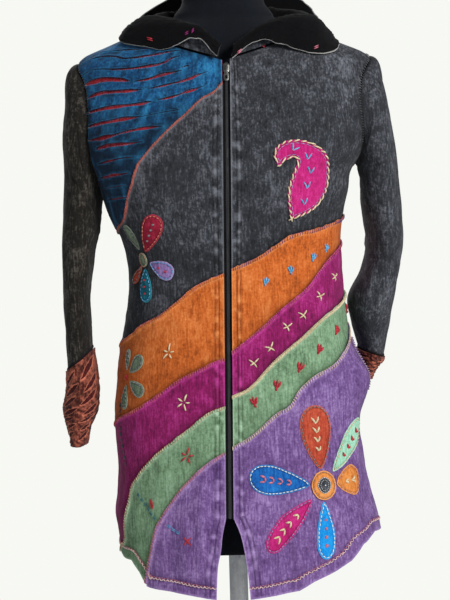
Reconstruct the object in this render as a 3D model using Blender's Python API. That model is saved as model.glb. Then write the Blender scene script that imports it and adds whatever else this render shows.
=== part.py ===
"""A long hooded patchwork coat, zipped up the front, worn by a limbless dress form on a pole and base plate.

Metres, +Z up. The coat faces -Y and the wearer's left is at +X. The origin is the middle of the base
plate's underside. A place on the coat is an angle round the body, in degrees, 0 at the front and positive
towards the wearer's left, with a height above the floor.
"""

import math

import bpy
import numpy as np
from mathutils import Vector
from mathutils.geometry import delaunay_2d_cdt

# Cloth and seams
WALL = 0.0018
SEAM_GAP = 0.0004
LAID_GAP = 0.0005
PATCH = 0.0012
CELL = 0.033
SHOULDER_CELL = 0.027
SEAM_STEP = 6.0
FLAT = 0.0028  # flat metres for a degree round the body

# Stand
BASE_RADIUS = 0.170
BASE_THICK = 0.008
COLLAR_RADIUS = 0.024
COLLAR_TOP = 0.050
POLE_RADIUS = 0.0135
FORM_BOTTOM = 0.640
FORM_TOP = 1.520
SEAT_GAP = 0.0003

# The body of the coat, a row for each height, with its half widths and depths and its squareness.
# height, right, left, front, back, squareness
BODY = np.array([
    (1.410, 0.066, 0.066, 0.052, 0.060, 2.00),
    (1.392, 0.090, 0.090, 0.062, 0.066, 2.00),
    (1.376, 0.128, 0.128, 0.070, 0.074, 2.00),
    (1.360, 0.166, 0.166, 0.077, 0.081, 2.00),
    (1.345, 0.202, 0.202, 0.083, 0.087, 2.05),
    (1.335, 0.214, 0.214, 0.087, 0.091, 2.10),
    (1.310, 0.217, 0.216, 0.095, 0.097, 2.20),
    (1.270, 0.215, 0.212, 0.110, 0.102, 2.30),
    (1.230, 0.210, 0.205, 0.123, 0.105, 2.35),
    (1.200, 0.200, 0.193, 0.130, 0.104, 2.35),
    (1.180, 0.190, 0.178, 0.132, 0.102, 2.35),
    (1.150, 0.178, 0.172, 0.131, 0.099, 2.35),
    (1.120, 0.168, 0.165, 0.127, 0.095, 2.35),
    (1.097, 0.158, 0.161, 0.123, 0.092, 2.35),
    (1.053, 0.147, 0.161, 0.117, 0.090, 2.30),
    (1.010, 0.147, 0.163, 0.114, 0.093, 2.30),
    (0.966, 0.154, 0.167, 0.115, 0.101, 2.30),
    (0.920, 0.164, 0.173, 0.119, 0.110, 2.30),
    (0.880, 0.169, 0.179, 0.122, 0.117, 2.30),
    (0.850, 0.172, 0.183, 0.124, 0.122, 2.30),
    (0.806, 0.172, 0.181, 0.127, 0.126, 2.30),
    (0.763, 0.170, 0.187, 0.130, 0.130, 2.25),
    (0.720, 0.173, 0.194, 0.134, 0.136, 2.20),
    (0.690, 0.177, 0.202, 0.137, 0.142, 2.20),
    (0.660, 0.172, 0.209, 0.140, 0.147, 2.20),
    (0.630, 0.170, 0.213, 0.142, 0.151, 2.20),
    (0.570, 0.172, 0.216, 0.145, 0.155, 2.20),
])

# Soft folds in the body, each a trough (deep below zero) or a ridge.
# angle, height, half width in degrees, half height, deep
FOLDS = np.array([
    (-62, 1.045, 7, 0.050, -0.0030),
    (-30, 1.000, 20, 0.012, -0.0025),
    (60, 1.150, 6, 0.060, -0.0030),
    (38, 1.085, 18, 0.012, 0.0025),
    (-20, 0.700, 5, 0.090, 0.0040),
    (-38, 0.660, 5, 0.080, -0.0040),
    (28, 0.680, 6, 0.090, -0.0050),
    (62, 0.640, 6, 0.080, 0.0050),
    (120, 0.720, 8, 0.130, 0.0060),
    (145, 0.700, 7, 0.120, -0.0060),
    (172, 0.690, 8, 0.130, 0.0060),
    (205, 0.700, 8, 0.120, -0.0060),
    (232, 0.700, 8, 0.130, 0.0060),
    (150, 1.040, 20, 0.014, -0.0040),
    (205, 1.015, 20, 0.014, -0.0040),
])

# The pocket mouth stands open on the wearer's left front: angle, height, wide, tall, proud
POCKET_BULGE = (86.0, 0.880, 15.0, 0.034, 0.0200)
POCKET_WELT = ((83.0, 0.862), (88.0, 0.862), (88.0, 0.900), (88.0, 0.940), (83.5, 0.936), (81.5, 0.900))
YOKE_SET_BACK = 0.0060

# The neckline, a row for each angle from the front, the same on both sides: angle, height
NECKLINE = np.array([
    (0, 1.333), (30, 1.347), (60, 1.366), (90, 1.386), (130, 1.396), (180, 1.398),
])

# The hem: angle, height
HEM = np.array([
    (-90, 0.636), (-76, 0.632), (-64, 0.633), (-58, 0.618), (-52, 0.600), (-36, 0.597), (-13, 0.589),
    (6, 0.588), (20, 0.592), (32, 0.596), (39, 0.607), (50, 0.619), (57, 0.630), (63, 0.650),
    (74, 0.661), (90, 0.655), (112, 0.634), (140, 0.612), (180, 0.604), (220, 0.606), (250, 0.622),
    (270, 0.636),
])

# Where each seam runs on the fronts: angle, height
YOKE_SEAM = np.array([
    (-90, 1.096), (-74, 1.106), (-61, 1.126), (-57, 1.145), (-52, 1.168), (-49, 1.187), (-44, 1.207),
    (-39, 1.225), (-33, 1.243), (-26, 1.260), (-18, 1.278), (-8, 1.290), (-3, 1.300), (4, 1.306),
])
RIGHT_SEAMS = {
    "orange": np.array([
        (-90, 0.931), (-70, 0.947), (-61, 0.962), (-45, 0.981), (-34.5, 1.001), (-25, 1.017),
        (-15.5, 1.027), (-5, 1.035), (4, 1.041),
    ]),
    "magenta": np.array([
        (-90, 0.815), (-76, 0.828), (-59, 0.846), (-44.5, 0.870), (-33.5, 0.890), (-23, 0.902),
        (-13, 0.913), (-6, 0.918), (4, 0.924),
    ]),
    "green": np.array([
        (-90, 0.618), (-84, 0.632), (-76, 0.648), (-68, 0.669), (-65, 0.703), (-63.5, 0.724),
        (-57.5, 0.753), (-48, 0.781), (-38, 0.802), (-27.5, 0.822), (-16, 0.844), (-6, 0.852), (4, 0.859),
    ]),
    "purple": np.array([
        (-90, 0.540), (-56, 0.570), (-53, 0.597), (-50, 0.634), (-46, 0.675), (-41, 0.705), (-35, 0.728),
        (-25.5, 0.755), (-17, 0.773), (-6.5, 0.788), (4, 0.795),
    ]),
}
LEFT_SEAMS = {
    "orange": np.array([
        (-8, 1.036), (-0.5, 1.041), (12, 1.051), (20, 1.059), (28, 1.071), (35, 1.083), (42.5, 1.089),
        (53, 1.093), (66, 1.101), (90, 1.112),
    ]),
    "magenta": np.array([
        (-8, 0.919), (-1.5, 0.926), (10.5, 0.943), (20, 0.959), (35, 0.987), (49, 1.012), (60, 1.042),
        (72, 1.062), (90, 1.075),
    ]),
    "green": np.array([
        (-8, 0.858), (-1, 0.866), (9, 0.875), (27, 0.913), (45, 0.945), (58, 0.969), (72, 0.986),
        (90, 1.001),
    ]),
    "purple": np.array([
        (-8, 0.788), (-2, 0.795), (11, 0.811), (27, 0.841), (34.5, 0.851), (39, 0.868), (45.5, 0.883),
        (60.5, 0.902), (73.5, 0.926), (90, 0.955),
    ]),
}

# The bands go on round the back, from the left side seam at 90 to the right one at 270.
# name: height at the left side seam, at the back's middle, at the right side seam
BACK_SEAMS = {
    "orange": (1.112, 1.030, 0.931),
    "magenta": (1.075, 0.945, 0.815),
    "green": (1.001, 0.845, 0.618),
    "purple": (0.955, 0.770, 0.540),
}

# Front zip
ZIP_TOP = 1.333
ZIP_FOOT = 0.700
ZIP_TOP_X = 0.0020
ZIP_LEAN = 0.0196
ZIP_HALF_GAP = 0.0053
TAPE_WIDE = 0.0150
TAPE_THICK = 0.0010
COIL_HALF = 0.0024
SLIDER_HEIGHT = 1.322
SLIDER_OUT = 0.0034
PULL_OUT = 0.0046
PULL_AXIS_UP = 0.0020
# Below the zip the fronts part: height, right edge, left edge
VENT = np.array([
    (0.700, -0.0156, -0.0050), (0.680, -0.0205, 0.0030), (0.655, -0.0240, 0.0085),
    (0.635, -0.0285, 0.0112), (0.611, -0.0305, 0.0135), (0.570, -0.0325, 0.0160),
])

# Armholes: their middle height, half height and half width in degrees
ARMHOLE = {"right": (1.244, 0.098, 17.0), "left": (1.264, 0.078, 17.0)}
SIDE = {"right": -1, "left": 1}
SET_IN = 0.0014  # a sleeve starts this far inside its armhole
ROUND = 18  # points round a sleeve

# Sleeves, a row for each section after the armhole, with the outer and the inner edge seen from the front.
# outer x, outer z, inner x, inner z, middle y, half depth
SLEEVE = {
    "right": np.array([
        (0.2298, 1.290, 0.1845, 1.130, 0.000, 0.063),
        (0.2351, 1.245, 0.1865, 1.114, 0.000, 0.062),
        (0.2345, 1.200, 0.1880, 1.098, -0.001, 0.061),
        (0.2370, 1.150, 0.1930, 1.079, -0.002, 0.060),
        (0.2400, 1.095, 0.1970, 1.058, -0.003, 0.059),
        (0.2412, 1.045, 0.2015, 1.030, -0.004, 0.058),
        (0.2410, 1.000, 0.2050, 0.995, -0.005, 0.056),
        (0.2400, 0.955, 0.2035, 0.960, -0.006, 0.054),
        (0.2391, 0.900, 0.2030, 0.932, -0.006, 0.051),
        (0.2400, 0.868, 0.1985, 0.885, -0.006, 0.050),
        (0.2450, 0.841, 0.1995, 0.846, -0.006, 0.050),
        (0.2411, 0.822, 0.2100, 0.822, -0.006, 0.047),
        (0.2349, 0.792, 0.2170, 0.794, -0.006, 0.042),
    ]),
    "left": np.array([
        (0.2250, 1.305, 0.1900, 1.178, 0.002, 0.062),
        (0.2345, 1.268, 0.1925, 1.166, 0.004, 0.062),
        (0.2420, 1.215, 0.1925, 1.148, 0.006, 0.061),
        (0.2475, 1.165, 0.1925, 1.130, 0.008, 0.060),
        (0.2515, 1.110, 0.1965, 1.104, 0.010, 0.059),
        (0.2512, 1.068, 0.1990, 1.068, 0.012, 0.058),
        (0.2445, 1.030, 0.1915, 1.034, 0.015, 0.056),
        (0.2375, 0.990, 0.1715, 0.994, 0.020, 0.053),
        (0.2305, 0.948, 0.1770, 0.956, 0.030, 0.047),
        (0.2225, 0.9045, 0.1870, 0.9185, 0.040, 0.042),
        (0.2150, 0.8930, 0.1860, 0.9010, 0.045, 0.037),
        (0.2085, 0.8820, 0.1850, 0.8880, 0.048, 0.034),
        (0.2038, 0.8710, 0.1840, 0.8760, 0.050, 0.031),
    ]),
}
CUFF_GAP = 0.0016
CUFF_FROM = {"right": 9, "left": 10}  # the row of a sleeve where its cuff starts
CUFF_FLAT = 0.0008  # flat metres for a degree round a cuff
CUFF_LONG = 0.0300  # flat metres for a row along a cuff

# Slits in the yoke's top layer, from the armhole side to the zip side.
# first angle, its height, last angle, its height, rise in the middle, widest
YOKE_SLITS = np.array([
    (-82, 1.345, -62, 1.3495, 0.0010, 0.0028),
    (-84, 1.334, -49, 1.3465, 0.0000, 0.0032),
    (-79, 1.325, -38, 1.3370, 0.0010, 0.0036),
    (-68, 1.308, -58, 1.3110, 0.0010, 0.0058),
    (-54, 1.309, -38, 1.3190, -0.0010, 0.0044),
    (-69, 1.288, -16, 1.3170, -0.0020, 0.0046),
    (-68, 1.268, -15, 1.2960, -0.0010, 0.0042),
    (-68, 1.250, -30, 1.2640, 0.0010, 0.0050),
    (-67, 1.232, -38, 1.2430, 0.0010, 0.0046),
    (-67, 1.214, -47, 1.2220, 0.0020, 0.0060),
    (-68, 1.197, -50, 1.2020, 0.0010, 0.0042),
    (-67, 1.178, -54, 1.1830, 0.0010, 0.0036),
    (-70, 1.160, -57, 1.1630, 0.0010, 0.0034),
    (-76, 1.138, -61, 1.1440, 0.0010, 0.0034),
])

# The hood lies open round the neck. Each section goes from the neckline through four places to the rim, all
# measured out and up from the neckline.
# angle from the front, stand out and up, turn out and up, belly out and up, rim out and up
HOOD_RIGHT = np.array([
    (6, 0.001, 0.008, 0.004, 0.013, 0.010, 0.012, 0.012, 0.000),
    (25, 0.000, 0.016, 0.004, 0.028, 0.013, 0.029, 0.016, 0.018),
    (45, -0.001, 0.020, 0.008, 0.032, 0.021, 0.024, 0.012, -0.007),
    (62, 0.000, 0.020, 0.013, 0.028, 0.026, 0.015, 0.025, -0.010),
    (78, 0.001, 0.018, 0.011, 0.019, 0.026, 0.007, 0.036, -0.010),
    (95, 0.002, 0.018, 0.015, 0.014, 0.033, 0.006, 0.047, -0.006),
    (115, 0.004, 0.018, 0.026, 0.004, 0.052, -0.018, 0.070, 0.004),
    (140, 0.006, 0.018, 0.040, -0.030, 0.080, -0.080, 0.0985, 0.036),
    (160, 0.007, 0.019, 0.044, -0.048, 0.090, -0.112, 0.107, 0.064),
])
HOOD_LEFT = np.array([
    (6, 0.001, 0.008, 0.004, 0.013, 0.010, 0.011, 0.012, -0.004),
    (25, 0.000, 0.016, 0.004, 0.028, 0.014, 0.028, 0.014, 0.012),
    (45, -0.001, 0.020, 0.008, 0.032, 0.022, 0.024, 0.018, -0.006),
    (62, 0.000, 0.020, 0.012, 0.024, 0.031, 0.009, 0.035, -0.030),
    (78, 0.001, 0.018, 0.015, 0.013, 0.035, -0.004, 0.045, -0.022),
    (95, 0.002, 0.018, 0.023, 0.011, 0.047, -0.006, 0.058, -0.014),
    (115, 0.004, 0.018, 0.032, 0.000, 0.060, -0.022, 0.076, 0.002),
    (140, 0.006, 0.018, 0.041, -0.032, 0.082, -0.080, 0.100, 0.036),
    (160, 0.007, 0.019, 0.045, -0.048, 0.092, -0.112, 0.105, 0.060),
    (180, 0.008, 0.020, 0.046, -0.055, 0.095, -0.125, 0.104, 0.066),
])
HOOD_TURNED = HOOD_RIGHT[::-1] * np.array([-1, *[1] * 8]) + np.array([360, *[0] * 8])
HOOD_ROUND = np.concatenate([HOOD_LEFT, HOOD_TURNED])
HOOD_LEAN = 0.30
HOOD_GAP = 0.0007
HOOD_LIFT = 0.0022
HOOD_CLEAR = 0.0088
HOOD_WALL = 0.0014
HOOD_ANGLES = 27
HOOD_STEPS = 9

# The form stands inside the coat by this much: height, inset
FORM_INSET = np.array([
    (1.410, 0.0054), (1.376, 0.0060), (1.345, 0.0094), (1.320, 0.0098), (1.280, 0.0094), (1.200, 0.0100),
    (1.000, 0.0130), (0.900, 0.0190), (0.800, 0.0280), (0.600, 0.0460),
])
FORM_FRONT_INSET = 0.004
NECK = np.array([(1.425, 0.0590, 0.0550), (1.450, 0.0565, 0.0550), (1.500, 0.0550, 0.0540)])
NECK_MIDDLE_Y = 0.006


def spline(rows, column):
    """A smooth curve through a table's column against its first one."""
    rows = np.asarray(rows, float)
    rows = rows[np.argsort(rows[:, 0])]
    x, y = rows[:, 0], rows[:, column]
    step = np.diff(x)
    slope = np.diff(y) / step
    m = np.empty_like(y)
    m[0], m[-1] = slope[0], slope[-1]
    m[1:-1] = (slope[:-1] * step[1:] + slope[1:] * step[:-1]) / (step[1:] + step[:-1])

    def at(value):
        value = np.clip(np.asarray(value, float), x[0], x[-1])
        i = np.clip(np.searchsorted(x, value) - 1, 0, len(x) - 2)
        t = (value - x[i]) / step[i]
        ease = t * t * (3 - 2 * t)
        tangents = t * (1 - t) ** 2 * m[i] - t * t * (1 - t) * m[i + 1]
        return (1 - ease) * y[i] + ease * y[i + 1] + step[i] * tangents

    return at


def sloped(rows):
    """Straight lines through a two-column table."""
    return lambda value: np.interp(value, rows[:, 0], rows[:, 1])


RIGHT, LEFT, FRONT, BACK, SQUARE = (spline(BODY, column) for column in range(1, 6))
vent_right, vent_left = spline(VENT, 1), spline(VENT, 2)
neck_height = spline(NECKLINE, 1)
hem = sloped(HEM)
form_inset = spline(FORM_INSET, 1)


def neckline(angle):
    turned = np.abs((np.asarray(angle, float) + 180) % 360 - 180)
    return neck_height(turned)


def reach(angle, height):
    """How far the body's middle surface is from the axis, without its folds."""
    across, along = np.sin(np.radians(angle)), np.cos(np.radians(angle))
    wide = np.where(across >= 0, LEFT(height), RIGHT(height))
    deep = np.where(along >= 0, FRONT(height), BACK(height))
    n = SQUARE(height)
    return (np.abs(across / wide) ** n + np.abs(along / deep) ** n) ** (-1 / n)


def folds(angle, height):
    total = 0.0
    for middle, level, wide, tall, deep in FOLDS:
        turn = (angle - middle + 180) % 360 - 180
        total = total + deep * np.exp(-((turn / wide) ** 2) - ((height - level) / tall) ** 2)
    middle, level, wide, tall, proud = POCKET_BULGE
    swell = proud * np.exp(-((angle - middle) / wide) ** 2 - ((height - level) / tall) ** 2)
    tuck = np.clip((90 - angle) / 9, 0, 1)
    return total + swell * tuck * tuck * (3 - 2 * tuck)


def body_middle(flat):
    angle, height = flat[:, 0] / FLAT, flat[:, 1]
    r = reach(angle, height) + folds(angle, height)
    a = np.radians(angle)
    return np.stack([r * np.sin(a), -r * np.cos(a), height], 1)


def moved_out(middle, flat, out):
    """Points of a surface moved along its normals, which stand on the left of its two directions."""
    h = 1e-4
    right, up = np.array([h, 0]), np.array([0, h])
    across = middle(flat + right) - middle(flat - right)
    along = middle(flat + up) - middle(flat - up)
    normal = np.cross(across, along)
    normal /= np.linalg.norm(normal, axis=1)[:, None]
    return middle(flat) + out * normal


def body(flat, out):
    return moved_out(body_middle, np.asarray(flat, float), out)


def inside(points, loop):
    """Whether each point is inside a closed outline."""
    x, y = points[:, 0][:, None], points[:, 1][:, None]
    a, b = loop, np.roll(loop, -1, 0)
    crosses = (a[:, 1] > y) != (b[:, 1] > y)
    rise = np.where(a[:, 1] == b[:, 1], 1, b[:, 1] - a[:, 1])
    return (crosses & (x < a[:, 0] + (y - a[:, 1]) / rise * (b[:, 0] - a[:, 0]))).sum(1) % 2 == 1


def away(points, loop):
    """How far each point is from an outline."""
    a, b = loop[None], np.roll(loop, -1, 0)[None]
    p, d = points[:, None], b - a
    t = np.clip(((p - a) * d).sum(2) / np.maximum((d * d).sum(2), 1e-18), 0, 1)
    return np.linalg.norm(p - a - t[..., None] * d, axis=2).min(1)


def anticlockwise(loop):
    nxt = np.roll(loop, -1, 0)
    area = (loop[:, 0] * nxt[:, 1] - nxt[:, 0] * loop[:, 1]).sum()
    return loop if area > 0 else loop[::-1]


def inset(loop, by):
    """An outline moved inwards, with its corners kept."""
    loop = anticlockwise(np.asarray(loop, float))
    before, after = loop - np.roll(loop, 1, 0), np.roll(loop, -1, 0) - loop
    n1 = np.stack([-before[:, 1], before[:, 0]], 1) / np.linalg.norm(before, axis=1)[:, None]
    n2 = np.stack([-after[:, 1], after[:, 0]], 1) / np.linalg.norm(after, axis=1)[:, None]
    bisector = n1 + n2
    bisector /= np.maximum((bisector * n1).sum(1), 0.5)[:, None]
    return loop + by * bisector


def lattice(loop, cell):
    low, high = loop.min(0), loop.max(0)
    rows = np.arange(low[1], high[1], cell * 0.866)
    points = []
    for number, y in enumerate(rows):
        x = np.arange(low[0] + cell / 2 * (number % 2), high[0], cell)
        points.append(np.stack([x, np.full(len(x), y)], 1))
    return np.concatenate(points)


def triangulated(outline, loops, cell):
    """Points and triangles that fill an outline, with the loops inside it as lines of the mesh."""
    grid = lattice(outline, cell)
    keep = inside(grid, outline)
    for loop in (outline, *loops):
        keep[keep] = away(grid[keep], loop) > cell * 0.45
    points = np.concatenate([outline, *loops, grid[keep]])
    edges, start = [], 0
    for loop in (outline, *loops):
        count = len(loop)
        edges += [(start + i, start + (i + 1) % count) for i in range(count)]
        start += count
    done = delaunay_2d_cdt([Vector(p) for p in points], edges, [], 0, 1e-7)
    points = np.array([tuple(p) for p in done[0]])
    faces = np.array(done[2])
    faces = faces[inside(points[faces].mean(1), outline)]
    order = points[faces]
    turn = np.cross(order[:, 1] - order[:, 0], order[:, 2] - order[:, 0])
    return points, np.where(turn[:, None] < 0, faces[:, ::-1], faces)


def material(name, colour, roughness, metallic=0.0):
    found = bpy.data.materials.get(name)
    if found:
        return found
    made = bpy.data.materials.new(name)
    made.use_nodes = True
    shader = made.node_tree.nodes["Principled BSDF"]
    shader.inputs["Base Color"].default_value = (*colour, 1)
    shader.inputs["Roughness"].default_value = roughness
    shader.inputs["Metallic"].default_value = metallic
    return made


COLOURS = {
    "charcoal": (0.052, 0.052, 0.058), "orange": (0.62, 0.17, 0.02), "magenta": (0.33, 0.015, 0.16),
    "green": (0.18, 0.34, 0.19), "purple": (0.19, 0.08, 0.28), "blue": (0.02, 0.11, 0.23),
    "red": (0.23, 0.01, 0.02), "rust": (0.34, 0.07, 0.03), "black_fleece": (0.008, 0.008, 0.010),
    "grey_green": (0.12, 0.15, 0.11), "lilac": (0.32, 0.14, 0.33), "teal": (0.02, 0.22, 0.27),
    "bright_blue": (0.01, 0.16, 0.42), "mint": (0.28, 0.44, 0.31),
}


def cloth(name):
    return material(name, COLOURS[name], 0.9)


def add(name, points, faces, finish):
    mesh = bpy.data.meshes.new(name)
    mesh.from_pydata([tuple(p) for p in points], [], [tuple(int(i) for i in f) for f in faces])
    mesh.materials.append(finish)
    mesh.shade_smooth()
    mesh.set_sharp_from_angle(angle=math.radians(50))
    piece = bpy.data.objects.new(name, mesh)
    bpy.context.collection.objects.link(piece)
    return piece


def wall(name, points, faces, place, low, high, finish):
    """A closed wall over a triangulated patch, from low to high along the surface's normals."""
    used, faces = np.unique(faces, return_inverse=True)
    points, faces = points[used], faces.reshape(-1, 3)
    count = len(points)
    outer, inner = place(points, high), place(points, low)
    directed = {edge for a, b, c in faces for edge in ((a, b), (b, c), (c, a))}
    rim = [(a, b) for a, b in directed if (b, a) not in directed]
    shell = [(a, b, c) for a, b, c in faces]
    shell += [(c + count, b + count, a + count) for a, b, c in faces]
    shell += [(b, a, a + count, b + count) for a, b in sorted(rim)]
    return add(name, np.concatenate([outer, inner]), shell, finish)


def layer(lift):
    """The low and high sides of what is sewn on a panel, by how many layers lie beneath it."""
    low = WALL / 2 + LAID_GAP + lift * (PATCH + LAID_GAP)
    return low, low + PATCH


def panel(name, outline, finish, place=body, low=-WALL / 2, high=WALL / 2, cell=CELL, holes=(),
          laid=(), gap=SEAM_GAP / 2):
    """A wall over an outline. What is laid on it is made from its points, moved out.

    Each laid piece is (name, outline, cloth, lift, holes), and a hole is cut through.
    """
    loop = inset(outline, gap)
    holes = [anticlockwise(np.asarray(hole, float)) for hole in holes]
    loops = list(holes)
    for _, shape, _, _, gaps in laid:
        loops += [shape, *gaps]
    points, faces = triangulated(loop, loops, cell)
    middles = points[faces].mean(1)

    def within(shape, gaps):
        kept = inside(middles, shape)
        for gap_loop in gaps:
            kept &= ~inside(middles, gap_loop)
        return faces[kept]

    wall(name, points, within(loop, holes), place, low, high, finish)
    for laid_name, shape, laid_finish, lift, gaps in laid:
        wall(laid_name, points, within(shape, gaps), place, *layer(lift), laid_finish)


# Curves of the coat's outline, in flat metres


def zip_x(height):
    return ZIP_TOP_X - ZIP_LEAN * (ZIP_TOP - height)


def front_edge(side, height):
    """The angle of a front's edge beside the zip, and of the open vent below it."""
    vent = vent_right(height) if side == "right" else vent_left(height)
    x = np.where(height > ZIP_FOOT, zip_x(height) + SIDE[side] * ZIP_HALF_GAP, vent)
    return np.degrees(np.arctan2(x, FRONT(height)))


def armhole(side, turns, shrink=0.0):
    """Places round an armhole, from its top, as angles and heights."""
    level, tall, wide = ARMHOLE[side]
    turn = np.radians(turns)
    return np.stack([
        SIDE[side] * 90 + (wide - shrink / FLAT) * np.sin(turn),
        level + (tall - shrink) * np.cos(turn),
    ], 1)


def flat(places):
    places = np.asarray(places, float)
    return places * np.array([FLAT, 1.0])


def meets_edge(side, curve):
    """Where a seam meets its front's edge."""
    angle = 0.0
    for _ in range(8):
        angle = float(front_edge(side, curve(angle)))
    return angle


def stations(start, end):
    """Angles along a seam, the same ones for both of its pieces."""
    low, high = min(start, end), max(start, end)
    between = np.arange(math.ceil((low + 1.5) / SEAM_STEP), math.floor((high - 1.5) / SEAM_STEP) + 1)
    return np.array([low, *(between * SEAM_STEP), high])


def along(curve, start, end):
    angles = stations(start, end)
    return np.stack([angles, curve(angles)], 1)


def upright(place, low, high, step=0.03):
    """Places up an edge between two heights, its ends left out."""
    count = max(1, round((high - low) / step))
    heights = np.linspace(low, high, count + 1)[1:-1]
    return np.stack([np.broadcast_to(place(heights), heights.shape), heights], 1)


def last_wide(top, bottom, start, end, least=0.004):
    """How far towards end a band stays wider than least."""
    angles = np.linspace(start, end, 721)
    narrow = np.nonzero(top(angles) - bottom(angles) < least)[0]
    return end if len(narrow) == 0 else float(angles[max(narrow[0] - 1, 0)])


def front_band(side, top, bottom):
    """The outline of a band of a front, between two seams, from the zip to the side seam."""
    edge = 90.0 * SIDE[side]

    def foot(angle):
        return np.maximum(bottom(angle), hem(angle))

    near_top, near_foot = meets_edge(side, top), meets_edge(side, foot)
    far = last_wide(top, foot, near_top, edge)
    lower, upper = along(foot, near_foot, far), along(top, near_top, far)
    zipped = upright(lambda z: front_edge(side, z), float(foot(near_foot)), float(top(near_top)))
    if side == "left":
        seam = upright(lambda z: edge, lower[-1, 1], upper[-1, 1])
        return flat(np.concatenate([lower, seam, upper[::-1], zipped[::-1]]))
    seam = upright(lambda z: edge, lower[0, 1], upper[0, 1])
    return flat(np.concatenate([lower, zipped, upper[::-1], seam[::-1]]))


def front_top(side, bottom):
    """The outline of the piece above a seam, round the armhole and up to the shoulder and neck."""
    edge = 90.0 * SIDE[side]
    near = meets_edge(side, bottom)
    lower = along(bottom, near, edge)
    turns = np.linspace(180, 0, ROUND // 2 + 1)
    level, tall, _ = ARMHOLE[side]
    hole = armhole(side, 360 - turns if side == "left" else turns)
    neck_end = meets_edge(side, neckline)
    neck = along(neckline, neck_end, edge)
    shoulder = upright(lambda z: edge, level + tall, float(neckline(edge)), 0.02)
    below = upright(lambda z: edge, float(bottom(edge)), level - tall)
    zipped = upright(lambda z: front_edge(side, z), float(bottom(near)), float(neckline(neck_end)))
    if side == "left":
        parts = [lower, below, hole, shoulder, neck[::-1], zipped[::-1]]
    else:
        parts = [lower, zipped, neck[::-1], shoulder[::-1], hole[::-1], below[::-1]]
    return flat(np.concatenate(parts))


def back_seam(name):
    left, middle, right = BACK_SEAMS[name]
    return spline([(90, left), (135, (left * 0.55 + middle * 0.45)), (180, middle),
                   (225, (right * 0.5 + middle * 0.5)), (270, right)], 1)


def back_band(top, bottom):
    def foot(angle):
        return np.maximum(bottom(angle), hem(angle))

    far = last_wide(top, foot, 90.0, 270.0)
    lower, upper = along(foot, 90.0, far), along(top, 90.0, far)
    left = upright(lambda z: 90.0, lower[0, 1], upper[0, 1])
    right = upright(lambda z: far, lower[-1, 1], upper[-1, 1])
    return flat(np.concatenate([lower, right, upper[::-1], left[::-1]]))


def back_top(bottom):
    """The back above its first seam, between the two armholes and up to the neck."""
    lower = along(bottom, 90.0, 270.0)
    turns = np.linspace(0, 180, ROUND // 2 + 1)
    left_hole = armhole("left", turns)
    right_hole = armhole("right", 180 + turns) + np.array([360.0, 0])
    pieces = [lower]
    level, tall, _ = ARMHOLE["right"]
    pieces.append(upright(lambda z: 270.0, float(bottom(270.0)), level - tall))
    pieces.append(right_hole)
    pieces.append(upright(lambda z: 270.0, level + tall, float(neckline(270.0)), 0.02))
    pieces.append(along(neckline, 90.0, 270.0)[::-1])
    level, tall, _ = ARMHOLE["left"]
    pieces.append(upright(lambda z: 90.0, level + tall, float(neckline(90.0)), 0.02)[::-1])
    pieces.append(left_hole)
    pieces.append(upright(lambda z: 90.0, float(bottom(90.0)), level - tall)[::-1])
    return flat(np.concatenate(pieces))


def lens(start, end, rise, wide, sides=5):
    """A slit that opens in its middle, from one flat point to another."""
    start, end = np.asarray(start, float), np.asarray(end, float)
    t = np.linspace(0, 1, sides + 1)[:, None]
    line = start + (end - start) * t
    across = np.array([-(end - start)[1], (end - start)[0]]) / np.linalg.norm(end - start)
    bow = 4 * t * (1 - t)
    upper = line + across * (rise + wide / 2) * bow
    lower = line + across * (rise - wide / 2) * bow
    return np.concatenate([lower, upper[1:-1][::-1]])


# Pieces of the coat


def yoke():
    """The slashed yoke of the wearer's right front: a red underlayer, and the blue layer cut over it."""
    outline = front_top("right", spline(YOKE_SEAM, 1))
    slits = [lens(flat((a0, z0)), flat((a1, z1)), rise, wide)
             for a0, z0, a1, z1, rise, wide in YOKE_SLITS]
    blue = ("yoke_slashed", inset(outline, YOKE_SET_BACK), cloth("blue"), 0, slits)
    panel("yoke_underlayer", outline, cloth("red"), laid=[blue])


def right_front():
    seams = {name: spline(rows, 1) for name, rows in RIGHT_SEAMS.items()}
    upper = front_band("right", spline(YOKE_SEAM, 1), seams["orange"])
    panel("front_right_upper", upper, cloth("charcoal"), laid=small_flower())
    panel("front_right_orange", front_band("right", seams["orange"], seams["magenta"]), cloth("orange"),
          laid=flower("patch_green", GREEN_FLOWER_AT, GREEN_FLOWER))
    panel("front_right_magenta", front_band("right", seams["magenta"], seams["green"]), cloth("magenta"))
    panel("front_right_green", front_band("right", seams["green"], seams["purple"]), cloth("green"))
    panel("front_right_purple", front_band("right", seams["purple"], hem), cloth("purple"))


def left_front():
    seams = {name: spline(rows, 1) for name, rows in LEFT_SEAMS.items()}
    paisley = at_place(paisley_outline(), *PAISLEY_AT)
    panel("front_left_upper", front_top("left", seams["orange"]), cloth("charcoal"), cell=SHOULDER_CELL,
          laid=[("patch_paisley", paisley, cloth("magenta"), 0, [])])
    panel("front_left_orange", front_band("left", seams["orange"], seams["magenta"]), cloth("orange"))
    panel("front_left_magenta", front_band("left", seams["magenta"], seams["green"]), cloth("magenta"))
    panel("front_left_green", front_band("left", seams["green"], seams["purple"]), cloth("green"))
    welt = ("pocket_welt", flat(POCKET_WELT), cloth("purple"), 0, [])
    panel("front_left_purple", front_band("left", seams["purple"], hem), cloth("purple"),
          laid=[welt, *big_flower()])


def back():
    seams = {name: back_seam(name) for name in BACK_SEAMS}
    panel("back_upper", back_top(seams["orange"]), cloth("charcoal"), cell=SHOULDER_CELL)
    panel("back_orange", back_band(seams["orange"], seams["magenta"]), cloth("orange"))
    panel("back_magenta", back_band(seams["magenta"], seams["green"]), cloth("magenta"))
    panel("back_green", back_band(seams["green"], seams["purple"]), cloth("green"))
    panel("back_purple", back_band(seams["purple"], hem), cloth("purple"))


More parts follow.
